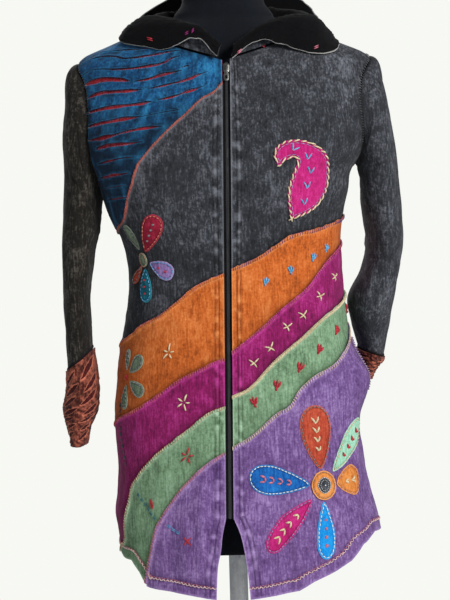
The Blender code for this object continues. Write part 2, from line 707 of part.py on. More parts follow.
def sleeve_middle(side):
    """The middle surface of a sleeve, from a turn in degrees and a row of its table, 0 at the armhole."""
    rows = SLEEVE[side]
    index = np.arange(1, len(rows) + 1)[:, None]
    columns = [spline(np.hstack([index, rows]), column) for column in range(1, 7)]
    sign = SIDE[side]

    def at(turns, row):
        turn = np.radians(turns)
        ring = armhole(side, turns, SET_IN)
        start = body_middle(flat(ring))
        clipped = np.maximum(row, 1)
        ox, oz, ix, iz, y, deep = (column(clipped) for column in columns)
        across = np.cos(turn)
        x = sign * ((ox + ix) / 2 + (ox - ix) / 2 * across)
        z = (oz + iz) / 2 + (oz - iz) / 2 * across
        section = np.stack([x, y + sign * deep * np.sin(turn), z], 1)
        s = np.clip(row, 0, 1)
        share = np.stack([1 - (1 - s) ** 2, s, s * s], 1)
        return np.where(row[:, None] < 1, start + (section - start) * share, section)

    return at


def sleeve_place(side):
    at = sleeve_middle(side)
    return lambda points, out: moved_out(
        lambda p: at(p[:, 0] / CUFF_FLAT, p[:, 1] / -CUFF_LONG), np.asarray(points, float), out)


def tube(name, place, rows, low, high, finish, around=ROUND):
    """A closed wall round a sleeve, between its first and last row."""
    turns = np.arange(around) * 360.0 / around * CUFF_FLAT
    grid = np.array([(turn, -row * CUFF_LONG) for row in rows for turn in turns])
    outer, inner = place(grid, high), place(grid, low)
    count, faces = len(grid), []
    for ring in range(len(rows) - 1):
        for k in range(around):
            a, b = ring * around + k, ring * around + (k + 1) % around
            c, d = b + around, a + around
            faces += [(a, d, c), (a, c, b)]
            faces += [(c + count, d + count, a + count), (b + count, c + count, a + count)]
    last = (len(rows) - 1) * around
    for k in range(around):
        a, b = k, (k + 1) % around
        faces.append((a, b, b + count, a + count))
        faces.append((last + b, last + a, last + a + count, last + b + count))
    return add(name, np.concatenate([outer, inner]), faces, finish)


def sleeve(side):
    """A sleeve, and its cuff: a red underlayer with a rust layer slashed over it, in two halves."""
    place = sleeve_place(side)
    cuff_from, last = CUFF_FROM[side], len(SLEEVE[side])
    seam = 0.008
    rows = [0, 0.25, 0.55, *range(1, cuff_from), cuff_from - seam]
    tube("sleeve_" + side, place, rows, -WALL / 2, WALL / 2, cloth("charcoal"))
    cuff_rows = np.linspace(cuff_from + seam, last, 6)
    tube("cuff_underlayer_" + side, place, cuff_rows, -WALL / 2, WALL / 2, cloth("red"))
    for half, start in (("front", 0), ("back", 180)) if side == "right" else (("front", 180), ("back", 0)):
        cuff_half(f"cuff_slashed_{side}_{half}", place, start, cuff_from, last)


def cuff_half(name, place, start, cuff_from, last):
    edge = 3.0
    first, end = start + edge, start + 180 - edge
    around = np.linspace(first, end, 10)
    down = np.linspace(cuff_from + 0.03, last - 0.02, 6)
    outline = [(a, down[0]) for a in around] + [(end, r) for r in down[1:-1]]
    outline += [(a, down[-1]) for a in around[::-1]] + [(first, r) for r in down[1:-1][::-1]]
    slits = []
    for number, row in enumerate(np.arange(cuff_from + 0.5, last - 0.4, 0.74)):
        for k in range(2):
            left = first + 10 + k * 82 + 9 * (number % 2)
            slits.append(lens(cuff_flat((left, row + 0.16)), cuff_flat((left + 64, row - 0.16)), 0.0,
                              0.0050, 4))
    low = WALL / 2 + CUFF_GAP
    panel(name, cuff_flat(outline), cloth("rust"), place, low, low + PATCH, 0.022, slits, gap=0)


def cuff_flat(places):
    return np.asarray(places, float) * np.array([CUFF_FLAT, -CUFF_LONG])


def hood_section(angle, steps):
    """Points of the hood's middle surface from the neckline to its rim, at one angle round the neck."""
    level = float(neckline(angle))
    slope = abs(float(reach(angle, level + 1e-3) - reach(angle, level - 1e-3))) / 2e-3
    level += 0.0035 / max(1.0, slope)
    start = float(reach(angle, level)) + HOOD_LIFT
    columns = [float(spline(HOOD_ROUND, column)(angle)) for column in range(1, 9)]
    places = np.array([(0, 0, 0), *((k + 1, columns[2 * k], columns[2 * k + 1]) for k in range(4))])
    t = np.linspace(0, 4, steps)
    out, up = spline(places, 1)(t), spline(places, 2)(t)
    height = level + up
    clear = reach(angle, np.minimum(height, 1.41)) + HOOD_CLEAR * np.clip(t / 0.8, 0, 1)
    far = np.where(height < 1.408, np.maximum(start + out, clear), start + out)
    a = math.radians(angle)
    x = far * math.sin(a) + HOOD_LEAN * np.maximum(up, 0)
    return np.stack([x, -far * math.cos(a), height], 1)


def hood():
    """The hood's charcoal outside and its black fleece lining, each a wall over the same sections."""
    angles = np.linspace(6, 354, HOOD_ANGLES)
    grid = np.array([hood_section(angle, HOOD_STEPS) for angle in angles])
    normal = np.cross(np.gradient(grid, axis=0), np.gradient(grid, axis=1))
    normal /= np.linalg.norm(normal, axis=2)[..., None]
    low = HOOD_GAP / 2
    sheet_wall("hood_outer", grid, normal, low, low + HOOD_WALL, cloth("charcoal"))
    sheet_wall("hood_lining", grid, normal, -low - HOOD_WALL, -low, cloth("black_fleece"))


def sheet_wall(name, grid, normal, low, high, finish):
    """A closed wall over a grid of points, from low to high along its normals."""
    rows, columns = grid.shape[:2]
    outer, inner = (grid + normal * high).reshape(-1, 3), (grid + normal * low).reshape(-1, 3)
    count, faces = rows * columns, []
    for i in range(rows - 1):
        for j in range(columns - 1):
            a, b = i * columns + j, i * columns + j + 1
            c, d = b + columns, a + columns
            faces += [(a, d, c), (a, c, b)]
            faces += [(c + count, d + count, a + count), (b + count, c + count, a + count)]
    rim = [i * columns for i in range(rows)]
    rim += [(rows - 1) * columns + j for j in range(1, columns)]
    rim += [i * columns + columns - 1 for i in range(rows - 2, -1, -1)]
    rim += [j for j in range(columns - 2, 0, -1)]
    for a, b in zip(rim, rim[1:] + rim[:1]):
        faces.append((b, a, a + count, b + count))
    return add(name, np.concatenate([outer, inner]), faces, finish)


def zip_strip(name, left, right, low, high, finish):
    """A long strip up the zip, its edges this far across from the zip's middle."""
    heights = np.linspace(ZIP_FOOT, ZIP_TOP - 0.002, 20)
    edges = [np.stack([np.degrees(np.arctan2(zip_x(heights) + x, FRONT(heights))), heights], 1)
             for x in (left, right)]
    panel(name, flat(np.concatenate([edges[1], edges[0][::-1]])), finish, low=low, high=high, gap=0)


def slider_frame():
    """Where the slider sits on the zip: its origin, and its across, up and out directions."""
    at = flat([(math.degrees(math.atan2(float(zip_x(SLIDER_HEIGHT)), float(FRONT(SLIDER_HEIGHT)))),
                SLIDER_HEIGHT)])
    origin = body_middle(at)[0]
    above = body_middle(at + np.array([[0, 1e-3]]))[0] - origin
    up = np.array([0, above[1], above[2]]) / math.hypot(above[1], above[2])
    across = np.array([1.0, 0, 0])
    return origin, across, up, np.cross(across, up)


def slab(name, outline, low, high, finish, holes=()):
    """A flat plate in the slider's frame, from its outline."""
    origin, across, up, out = slider_frame()

    def place(points, level):
        return origin + points[:, :1] * across + points[:, 1:] * up + level * out

    return panel(name, outline, finish, place, low, high, 0.01, holes, gap=0)


def oval(half_wide, half_tall, middle=(0, 0), sides=16):
    turn = np.arange(sides) * 2 * math.pi / sides
    return np.stack([middle[0] + half_wide * np.cos(turn), middle[1] + half_tall * np.sin(turn)], 1)


def front_zip():
    tape = cloth("black_fleece")
    steel = material("zip_metal", (0.35, 0.34, 0.33), 0.35, 1.0)
    under = -WALL / 2 - 0.0010
    zip_strip("zip_tape_right", -TAPE_WIDE, -0.0005, under - TAPE_THICK, under, tape)
    zip_strip("zip_tape_left", 0.0005, TAPE_WIDE, under - TAPE_THICK, under, tape)
    zip_strip("zip_coil", -COIL_HALF, COIL_HALF, under + 0.0003, 0.0002, tape)
    body_outline = [(-0.0035, -0.0065), (0.0035, -0.0065), (0.0045, 0.0), (0.0045, 0.0050),
                    (0.0025, 0.0070), (-0.0025, 0.0070), (-0.0045, 0.0050), (-0.0045, 0.0)]
    slab("zip_slider", body_outline, 0.0009, SLIDER_OUT, steel)
    pull_outline = [(-0.0020, PULL_AXIS_UP + 0.0007), (-0.0020, -0.0060), (-0.0036, -0.0105),
                    (-0.0038, -0.0165), (-0.0022, -0.0200), (0.0022, -0.0200), (0.0038, -0.0165),
                    (0.0036, -0.0105), (0.0020, -0.0060), (0.0020, PULL_AXIS_UP + 0.0007)]
    hole = oval(0.0018, 0.0028, (0, -0.0145), 12)
    slab("zip_pull", pull_outline, PULL_OUT - 0.0005, PULL_OUT + 0.0005, steel, [hole])


# Patches sewn on the coat


def petal(length, wide, root=0.3, sides=12):
    """A drop outline from its narrow end at the origin along +y."""
    turn = np.linspace(0, 2 * math.pi, sides, endpoint=False)
    y = (1 - np.cos(turn)) / 2
    fat = np.sin(turn) * (root + (1 - root) * y) ** 0.8
    return np.stack([wide / 2 * fat / 0.82, length * y], 1)


def turned(outline, degrees):
    """An outline turned clockwise from +y."""
    a = math.radians(degrees)
    x, y = np.asarray(outline).T
    return np.stack([x * math.cos(a) + y * math.sin(a), -x * math.sin(a) + y * math.cos(a)], 1)


def at_place(outline, angle, height):
    """An outline in real metres, set on the body at an angle and a height."""
    here = flat([(angle, height)])
    step = 1e-3
    across = np.linalg.norm(body_middle(here + [[step, 0]]) - body_middle(here - [[step, 0]])) / (2 * step)
    return here + np.asarray(outline) / np.array([across, 1.0])


def paisley_outline(steps=14):
    """A fat drop whose top curls over, from where its middle line heads and how wide it is along it."""
    share = np.linspace(0, 1, steps + 1)
    heading = np.radians(spline(PAISLEY, 1)(share))
    half = spline(PAISLEY, 2)(share)
    step = PAISLEY_LONG / steps * np.stack([np.sin(heading), np.cos(heading)], 1)
    middle = np.cumsum(step, 0) - step / 2 - step[0] / 2
    across = np.stack([-np.cos(heading), np.sin(heading)], 1)
    left, right = middle + across * half[:, None], middle - across * half[:, None]
    return np.concatenate([right, left[1:-1][::-1]]) * np.array([PAISLEY_STRETCH, 1.0])


# Large flower: name, colour, turn, length, wide, where its narrow end stands from the middle
BIG_FLOWER_AT = (48.2, 0.7385)
BIG_FLOWER = (
    ("top", "rust", -3.5, 0.0890, 0.0540, 0.0235),
    ("upper_right", "mint", 46, 0.0960, 0.0330, 0.0250),
    ("right", "orange", 88, 0.0420, 0.0460, 0.0220),
    ("bottom", "bright_blue", 185, 0.0790, 0.0290, 0.0230),
    ("lower_left", "magenta", 229, 0.1000, 0.0360, 0.0280),
    ("left", "bright_blue", 278.5, 0.1020, 0.0450, 0.0220),
)
BIG_MIDDLE = (0.0190, 0.0205)  # half widths and half heights
BIG_EYE = (0.0100, 0.0112)
SMALL_MIDDLE = (0.0080, 0.0105)
# The paisley stands on its foot, leans to the wearer's left and curls back over its top.
# share of its middle line, the heading there in degrees clockwise from upright, half width
PAISLEY_AT = (36.5, 1.111)
PAISLEY_LONG = 0.1480
PAISLEY_STRETCH = 1.12  # the coat turns away from the front here
PAISLEY = np.array([
    (0.00, 33, 0.0000), (0.15, 26, 0.0180), (0.33, 16, 0.0255), (0.50, -2, 0.0225), (0.64, -38, 0.0160),
    (0.77, -92, 0.0120), (0.88, -145, 0.0100), (1.00, -185, 0.0000),
])
SMALL_FLOWER_AT = (-57.5, 1.060)
SMALL_FLOWER = (
    ("top", "red", 32, 0.0590, 0.0310, 0.0130),
    ("side", "lilac", 114, 0.0410, 0.0280, 0.0130),
    ("bottom", "teal", 182, 0.0480, 0.0270, 0.0130),
    ("leaf", "grey_green", -23, 0.0380, 0.0170, 0.0150),
    ("rust", "rust", 224, 0.0340, 0.0140, 0.0140),
)
GREEN_FLOWER_AT = (-66.8, 0.893)
GREEN_FLOWER = (
    ("top", "grey_green", -5, 0.0300, 0.0110, 0.0100),
    ("right", "grey_green", 44, 0.0330, 0.0220, 0.0095),
    ("low", "grey_green", 122, 0.0320, 0.0215, 0.0100),
    ("foot", "grey_green", 183, 0.0350, 0.0160, 0.0110),
)


def flower(prefix, place_at, petals):
    """The petals of a flower, as pieces laid on a panel."""
    return [(f"{prefix}_{name}", at_place(turned(petal(long, wide) + np.array([0, root]), turn), *place_at),
             cloth(colour), 0, []) for name, colour, turn, long, wide, root in petals]


def big_flower():
    middle = at_place(oval(*BIG_MIDDLE), *BIG_FLOWER_AT)
    eye = at_place(oval(*BIG_EYE, sides=10), *BIG_FLOWER_AT)
    return [*flower("patch_big", BIG_FLOWER_AT, BIG_FLOWER),
            ("patch_big_middle", middle, cloth("orange"), 0, []),
            ("patch_big_eye", eye, cloth("black_fleece"), 1, [])]


def small_flower():
    middle = at_place(oval(*SMALL_MIDDLE, sides=10), *SMALL_FLOWER_AT)
    return [*flower("patch_small", SMALL_FLOWER_AT, SMALL_FLOWER),
            ("patch_small_middle", middle, cloth("grey_green"), 0, [])]


# Stand


def form():
    """The torso form with its neck, as rings from its flat bottom to its plain cap."""
    around = 24
    turns = np.arange(around) * 360.0 / around
    a = np.radians(turns)
    heights = [FORM_BOTTOM, 0.72, 0.81, 0.90, 0.98, 1.05, 1.12, 1.18, 1.24, 1.29, 1.320, 1.338,
               1.350, 1.364, 1.380, 1.400]
    rings = []
    for height in heights:
        tuck = FORM_FRONT_INSET * np.clip(np.cos(a), 0, 1) ** 2
        r = reach(turns, height) - form_inset(height) - tuck
        rings.append(np.stack([r * np.sin(a), -r * np.cos(a), np.full(around, height)], 1))
    for height, wide, deep in NECK:
        rings.append(np.stack([wide * np.sin(a), NECK_MIDDLE_Y - deep * np.cos(a),
                               np.full(around, height)], 1))
    for share, height in ((0.93, FORM_TOP - 0.012), (0.62, FORM_TOP)):
        rings.append(np.stack([NECK[-1, 1] * share * np.sin(a),
                               NECK_MIDDLE_Y - NECK[-1, 2] * share * np.cos(a),
                               np.full(around, height)], 1))
    faces = []
    for ring in range(len(rings) - 1):
        for k in range(around):
            first, second = ring * around + k, ring * around + (k + 1) % around
            faces.append((first, second, second + around, first + around))
    faces.append(tuple(range(around))[::-1])
    last = (len(rings) - 1) * around
    faces.append(tuple(last + k for k in range(around)))
    add("form_torso", np.concatenate(rings), faces, material("form_black", (0.008, 0.010, 0.014), 0.45))


def turned_solid(name, profile, finish, around=24):
    """A solid turned about the upright axis, from its (radius, height) profile, bottom to top."""
    points, faces = [(0, 0, profile[0][1])], []
    for radius, height in profile:
        for k in range(around):
            a = 2 * math.pi * k / around
            points.append((radius * math.cos(a), radius * math.sin(a), height))
    points.append((0, 0, profile[-1][1]))
    end = len(points) - 1
    for k in range(around):
        nxt = (k + 1) % around
        faces.append((0, 1 + nxt, 1 + k))
        faces.append((end, end - around + k, end - around + nxt))
        for ring in range(len(profile) - 1):
            low, high = 1 + ring * around, 1 + (ring + 1) * around
            faces.append((low + k, low + nxt, high + nxt, high + k))
    return add(name, points, faces, finish)


def stand():
    steel = material("stand_steel", (0.55, 0.55, 0.56), 0.28, 1.0)
    base = [(BASE_RADIUS - 0.0015, 0), (BASE_RADIUS, 0.0015), (BASE_RADIUS, BASE_THICK - 0.003),
            (BASE_RADIUS - 0.003, BASE_THICK), (COLLAR_RADIUS + 0.004, BASE_THICK),
            (COLLAR_RADIUS, BASE_THICK + 0.004), (COLLAR_RADIUS, COLLAR_TOP - 0.002),
            (COLLAR_RADIUS - 0.002, COLLAR_TOP)]
    turned_solid("stand_base", base, material("stand_base", (0.02, 0.02, 0.022), 0.4, 0.6))
    pole = [(POLE_RADIUS, COLLAR_TOP + SEAT_GAP), (POLE_RADIUS, FORM_BOTTOM - SEAT_GAP)]
    turned_solid("stand_pole", pole, steel, 20)


def build():
    for old in list(bpy.data.objects):
        bpy.data.objects.remove(old)
    stand()
    form()
    yoke()
    right_front()
    left_front()
    back()
    sleeve("right")
    sleeve("left")
    hood()
    front_zip()


build()
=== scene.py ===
"""The long hooded patchwork coat on its dress form, finished for the picture.

Metres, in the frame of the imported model. The coat's pieces follow the model's own sections: a place on the
body is an angle round it, 0 at the front and positive towards the wearer's left, with a height. Flat points
are that angle times FLAT, with the height. Cloth is a thin closed shell whose outer side carries the creases,
and threads are short arched stitches that one node tree puts at places worked out along the seams.
"""

import math

import bpy
import numpy as np
from mathutils import Euler, Matrix, Vector
from mathutils.geometry import delaunay_2d_cdt


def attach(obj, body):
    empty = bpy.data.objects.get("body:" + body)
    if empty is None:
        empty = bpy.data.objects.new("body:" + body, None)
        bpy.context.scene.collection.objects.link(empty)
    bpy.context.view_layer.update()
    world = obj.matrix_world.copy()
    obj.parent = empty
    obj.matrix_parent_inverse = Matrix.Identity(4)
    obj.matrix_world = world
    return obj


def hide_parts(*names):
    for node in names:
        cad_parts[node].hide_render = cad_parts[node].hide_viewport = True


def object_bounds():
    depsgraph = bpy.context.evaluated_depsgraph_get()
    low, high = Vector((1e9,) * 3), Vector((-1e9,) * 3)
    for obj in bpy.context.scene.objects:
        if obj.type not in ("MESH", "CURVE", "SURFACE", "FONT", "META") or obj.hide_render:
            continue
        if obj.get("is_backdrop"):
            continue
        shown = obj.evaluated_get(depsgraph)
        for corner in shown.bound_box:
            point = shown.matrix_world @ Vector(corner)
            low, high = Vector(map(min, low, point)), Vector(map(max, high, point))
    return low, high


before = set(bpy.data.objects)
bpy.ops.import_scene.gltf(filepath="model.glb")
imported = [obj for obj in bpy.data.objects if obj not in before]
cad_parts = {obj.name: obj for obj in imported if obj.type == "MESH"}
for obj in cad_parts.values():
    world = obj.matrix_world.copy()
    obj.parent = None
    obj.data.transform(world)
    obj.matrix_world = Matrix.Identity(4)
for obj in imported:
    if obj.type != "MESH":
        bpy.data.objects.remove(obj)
CAD_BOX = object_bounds()
COAT, PULL = "coat_and_form", "zip_pull"

# Camera, at the photograph's own angle to the coat
PHOTO_WIDE, PHOTO_HIGH = 450, 600  # pixels
FOCAL = 1655  # pixels
HORIZON = 100  # pixels that the camera's own level lies above the middle of the photograph
CAMERA_AT = (-0.0087, -2.4, 1.14)
CAMERA_DOWN = math.atan(HORIZON / FOCAL)
CAMERA_ROLL = math.radians(1.6)
SENSOR_HIGH = 36.0

# Cloth
SHELL = 0.0014  # how thick a panel is
SEAM_GAP = 0.0003
PATCH = 0.0010  # how thick a patch and a slashed layer are
LAID = 0.0003  # from a panel to a patch on it
CELL = 0.0042  # between the points of a panel, away from its edges
BACK_CELL = CELL * 1.2
UNDER_CELL = CELL * 1.3
SLASHED_CELL = 0.0030
CUFF_CELL = 0.0026
PATCH_CELL = 0.0021
CAST_CELL = 0.0007
SEAM_STEP = 1.0  # degrees between places along a seam
FLAT = 0.0028  # flat metres for a degree round the body

# The body of the coat, a row for each height, with its half widths and depths and its squareness.
# height, right, left, front, back, squareness
BODY = np.array([
    (1.410, 0.066, 0.066, 0.052, 0.060, 2.00),
    (1.392, 0.090, 0.090, 0.062, 0.066, 2.00),
    (1.376, 0.128, 0.128, 0.070, 0.074, 2.00),
    (1.360, 0.166, 0.166, 0.077, 0.081, 2.00),
    (1.345, 0.202, 0.202, 0.083, 0.087, 2.05),
    (1.335, 0.214, 0.214, 0.087, 0.091, 2.10),
    (1.310, 0.217, 0.216, 0.095, 0.097, 2.20),
    (1.270, 0.215, 0.212, 0.110, 0.102, 2.30),
    (1.230, 0.210, 0.205, 0.123, 0.105, 2.35),
    (1.200, 0.200, 0.193, 0.130, 0.104, 2.35),
    (1.180, 0.190, 0.178, 0.132, 0.102, 2.35),
    (1.150, 0.178, 0.172, 0.131, 0.099, 2.35),
    (1.120, 0.168, 0.165, 0.127, 0.095, 2.35),
    (1.097, 0.158, 0.161, 0.123, 0.092, 2.35),
    (1.053, 0.147, 0.161, 0.117, 0.090, 2.30),
    (1.010, 0.147, 0.163, 0.114, 0.093, 2.30),
    (0.966, 0.154, 0.167, 0.115, 0.101, 2.30),
    (0.920, 0.164, 0.173, 0.119, 0.110, 2.30),
    (0.880, 0.169, 0.179, 0.122, 0.117, 2.30),
    (0.850, 0.172, 0.183, 0.124, 0.122, 2.30),
    (0.806, 0.172, 0.181, 0.127, 0.126, 2.30),
    (0.763, 0.170, 0.187, 0.130, 0.130, 2.25),
    (0.720, 0.173, 0.194, 0.134, 0.136, 2.20),
    (0.690, 0.177, 0.202, 0.137, 0.142, 2.20),
    (0.660, 0.172, 0.209, 0.140, 0.147, 2.20),
    (0.630, 0.170, 0.213, 0.142, 0.151, 2.20),
    (0.570, 0.172, 0.216, 0.145, 0.155, 2.20),
])

# Soft folds in the body, each a trough (deep below zero) or a ridge.
# angle, height, half width in degrees, half height, deep
FOLDS = np.array([
    (-62, 1.045, 7, 0.050, -0.0030),
    (-30, 1.000, 20, 0.012, -0.0025),
    (60, 1.150, 6, 0.060, -0.0030),
    (38, 1.085, 18, 0.012, 0.0025),
    (-20, 0.700, 5, 0.090, 0.0040),
    (-38, 0.660, 5, 0.080, -0.0040),
    (28, 0.680, 6, 0.090, -0.0050),
    (62, 0.640, 6, 0.080, 0.0050),
    (120, 0.720, 8, 0.130, 0.0060),
    (145, 0.700, 7, 0.120, -0.0060),
    (172, 0.690, 8, 0.130, 0.0060),
    (205, 0.700, 8, 0.120, -0.0060),
    (232, 0.700, 8, 0.130, 0.0060),
    (150, 1.040, 20, 0.014, -0.0040),
    (205, 1.015, 20, 0.014, -0.0040),
])

# The pocket mouth stands open on the wearer's left front: angle, height, wide, tall, proud
POCKET_BULGE = (86.0, 0.880, 15.0, 0.034, 0.0200)
POCKET_WELT = ((83.0, 0.862), (88.0, 0.862), (88.0, 0.900), (88.0, 0.940), (83.5, 0.936), (81.5, 0.900))

# The neckline, a row for each angle from the front, the same on both sides: angle, height
NECKLINE = np.array([
    (0, 1.333), (30, 1.347), (60, 1.366), (90, 1.386), (130, 1.396), (180, 1.398),
])

# The hem: angle, height
HEM = np.array([
    (-90, 0.636), (-76, 0.632), (-64, 0.633), (-58, 0.618), (-52, 0.600), (-36, 0.597), (-13, 0.589),
    (6, 0.588), (20, 0.592), (32, 0.596), (39, 0.607), (50, 0.619), (57, 0.630), (63, 0.650),
    (74, 0.661), (90, 0.655), (112, 0.634), (140, 0.612), (180, 0.604), (220, 0.606), (250, 0.622),
    (270, 0.636),
])

# Where each seam runs on the fronts: angle, height
YOKE_SEAM = np.array([
    (-90, 1.096), (-74, 1.106), (-61, 1.126), (-57, 1.145), (-52, 1.168), (-49, 1.187), (-44, 1.207),
    (-39, 1.225), (-33, 1.243), (-26, 1.260), (-18, 1.278), (-8, 1.290), (-3, 1.300), (4, 1.306),
])
RIGHT_SEAMS = {
    "orange": np.array([
        (-90, 0.931), (-70, 0.947), (-61, 0.962), (-45, 0.981), (-34.5, 1.001), (-25, 1.017),
        (-15.5, 1.027), (-5, 1.035), (4, 1.041),
    ]),
    "magenta": np.array([
        (-90, 0.815), (-76, 0.828), (-59, 0.846), (-44.5, 0.870), (-33.5, 0.890), (-23, 0.902),
        (-13, 0.913), (-6, 0.918), (4, 0.924),
    ]),
    "green": np.array([
        (-90, 0.618), (-84, 0.632), (-76, 0.648), (-68, 0.669), (-65, 0.703), (-63.5, 0.724),
        (-57.5, 0.753), (-48, 0.781), (-38, 0.802), (-27.5, 0.822), (-16, 0.844), (-6, 0.852), (4, 0.859),
    ]),
    "purple": np.array([
        (-90, 0.540), (-56, 0.570), (-53, 0.597), (-50, 0.634), (-46, 0.675), (-41, 0.705), (-35, 0.728),
        (-25.5, 0.755), (-17, 0.773), (-6.5, 0.788), (4, 0.795),
    ]),
}
LEFT_SEAMS = {
    "orange": np.array([
        (-8, 1.036), (-0.5, 1.041), (12, 1.051), (20, 1.059), (28, 1.071), (35, 1.083), (42.5, 1.089),
        (53, 1.093), (66, 1.101), (90, 1.112),
    ]),
    "magenta": np.array([
        (-8, 0.919), (-1.5, 0.926), (10.5, 0.943), (20, 0.959), (35, 0.987), (49, 1.012), (60, 1.042),
        (72, 1.062), (90, 1.075),
    ]),
    "green": np.array([
        (-8, 0.858), (-1, 0.866), (9, 0.875), (27, 0.913), (45, 0.945), (58, 0.969), (72, 0.986),
        (90, 1.001),
    ]),
    "purple": np.array([
        (-8, 0.788), (-2, 0.795), (11, 0.811), (27, 0.841), (34.5, 0.851), (39, 0.868), (45.5, 0.883),
        (60.5, 0.902), (73.5, 0.926), (90, 0.955),
    ]),
}

# The bands go on round the back, from the left side seam at 90 to the right one at 270.
# name: height at the left side seam, at the back's middle, at the right side seam
BACK_SEAMS = {
    "orange": (1.112, 1.030, 0.931),
    "magenta": (1.075, 0.945, 0.815),
    "green": (1.001, 0.845, 0.618),
    "purple": (0.955, 0.770, 0.540),
}

# Front zip
ZIP_TOP = 1.333
ZIP_FOOT = 0.700
ZIP_TOP_X = 0.0020
ZIP_LEAN = 0.0196
ZIP_HALF_GAP = 0.0053
TOOTH_PITCH = 0.0014
SLIDER_HEIGHT = 1.322
SLIDER_OUT = 0.0034
PULL_OUT = 0.0046
PULL_AXIS_UP = 0.0020
# Below the zip the fronts part: height, right edge, left edge
VENT = np.array([
    (0.700, -0.0156, -0.0050), (0.680, -0.0205, 0.0030), (0.655, -0.0240, 0.0085),
    (0.635, -0.0285, 0.0112), (0.611, -0.0305, 0.0135), (0.570, -0.0325, 0.0160),
])

# Armholes: their middle height, half height and half width in degrees
ARMHOLE = {"right": (1.244, 0.098, 17.0), "left": (1.264, 0.078, 17.0)}
SIDE = {"right": -1, "left": 1}
SET_IN = 0.0014  # a sleeve starts this far inside its armhole
ROUND = 120  # points round a sleeve

# Sleeves, a row for each section after the armhole, with the outer and the inner edge seen from the front.
# outer x, outer z, inner x, inner z, middle y, half depth
SLEEVE = {
    "right": np.array([
        (0.2298, 1.290, 0.1845, 1.130, 0.000, 0.063),
        (0.2351, 1.245, 0.1865, 1.114, 0.000, 0.062),
        (0.2345, 1.200, 0.1880, 1.098, -0.001, 0.061),
        (0.2370, 1.150, 0.1930, 1.079, -0.002, 0.060),
        (0.2400, 1.095, 0.1970, 1.058, -0.003, 0.059),
        (0.2412, 1.045, 0.2015, 1.030, -0.004, 0.058),
        (0.2410, 1.000, 0.2050, 0.995, -0.005, 0.056),
        (0.2400, 0.955, 0.2035, 0.960, -0.006, 0.054),
        (0.2391, 0.900, 0.2030, 0.932, -0.006, 0.051),
        (0.2400, 0.868, 0.1985, 0.885, -0.006, 0.050),
        (0.2450, 0.841, 0.1995, 0.846, -0.006, 0.050),
        (0.2411, 0.822, 0.2100, 0.822, -0.006, 0.047),
        (0.2349, 0.792, 0.2170, 0.794, -0.006, 0.042),
    ]),
    "left": np.array([
        (0.2250, 1.305, 0.1900, 1.178, 0.002, 0.062),
        (0.2345, 1.268, 0.1925, 1.166, 0.004, 0.062),
        (0.2420, 1.215, 0.1925, 1.148, 0.006, 0.061),
        (0.2475, 1.165, 0.1925, 1.130, 0.008, 0.060),
        (0.2515, 1.110, 0.1965, 1.104, 0.010, 0.059),
        (0.2512, 1.068, 0.1990, 1.068, 0.012, 0.058),
        (0.2445, 1.030, 0.1915, 1.034, 0.015, 0.056),
        (0.2375, 0.990, 0.1715, 0.994, 0.020, 0.053),
        (0.2305, 0.948, 0.1770, 0.956, 0.030, 0.047),
        (0.2225, 0.9045, 0.1870, 0.9185, 0.040, 0.042),
        (0.2150, 0.8930, 0.1860, 0.9010, 0.045, 0.037),
        (0.2085, 0.8820, 0.1850, 0.8880, 0.048, 0.034),
        (0.2038, 0.8710, 0.1840, 0.8760, 0.050, 0.031),
    ]),
}
CUFF_FROM = {"right": 9, "left": 10}  # the row of a sleeve where its cuff starts
CUFF_FLAT = 0.0008  # flat metres for a degree round a cuff
CUFF_LONG = 0.0300  # flat metres for a row along a cuff

# The hood lies open round the neck. Each section goes from the neckline through three places to the rim, all
# measured out and up from the neckline.
# angle from the front, stand out and up, turn out and up, belly out and up, rim out and up
HOOD_RIGHT = np.array([
    (6, 0.001, 0.008, 0.004, 0.013, 0.010, 0.012, 0.012, 0.000),
    (25, 0.000, 0.016, 0.004, 0.028, 0.013, 0.029, 0.016, 0.018),
    (45, -0.001, 0.020, 0.008, 0.032, 0.021, 0.024, 0.012, -0.007),
    (62, 0.000, 0.020, 0.013, 0.028, 0.026, 0.015, 0.025, -0.010),
    (78, 0.001, 0.018, 0.011, 0.019, 0.026, 0.007, 0.036, -0.010),
    (95, 0.002, 0.018, 0.015, 0.014, 0.033, 0.006, 0.047, -0.006),
    (115, 0.004, 0.018, 0.026, 0.004, 0.052, -0.018, 0.070, 0.004),
    (140, 0.006, 0.018, 0.040, -0.030, 0.080, -0.080, 0.0985, 0.036),
    (160, 0.007, 0.019, 0.044, -0.048, 0.090, -0.112, 0.107, 0.064),
])
HOOD_LEFT = np.array([
    (6, 0.001, 0.008, 0.004, 0.013, 0.010, 0.011, 0.012, -0.004),
    (25, 0.000, 0.016, 0.004, 0.028, 0.014, 0.028, 0.014, 0.012),
    (45, -0.001, 0.020, 0.008, 0.032, 0.022, 0.024, 0.018, -0.006),
    (62, 0.000, 0.020, 0.012, 0.024, 0.031, 0.009, 0.035, -0.030),
    (78, 0.001, 0.018, 0.015, 0.013, 0.035, -0.004, 0.045, -0.022),
    (95, 0.002, 0.018, 0.023, 0.011, 0.047, -0.006, 0.058, -0.014),
    (115, 0.004, 0.018, 0.032, 0.000, 0.060, -0.022, 0.076, 0.002),
    (140, 0.006, 0.018, 0.041, -0.032, 0.082, -0.080, 0.100, 0.036),
    (160, 0.007, 0.019, 0.045, -0.048, 0.092, -0.112, 0.105, 0.060),
    (180, 0.008, 0.020, 0.046, -0.055, 0.095, -0.125, 0.104, 0.066),
])
HOOD_TURNED = HOOD_RIGHT[::-1] * np.array([-1, *[1] * 8]) + np.array([360, *[0] * 8])
HOOD_ROUND = np.concatenate([HOOD_LEFT, HOOD_TURNED])
HOOD_LEAN = 0.30
HOOD_CLEAR = 0.0088
HOOD_LIFT = 0.0022

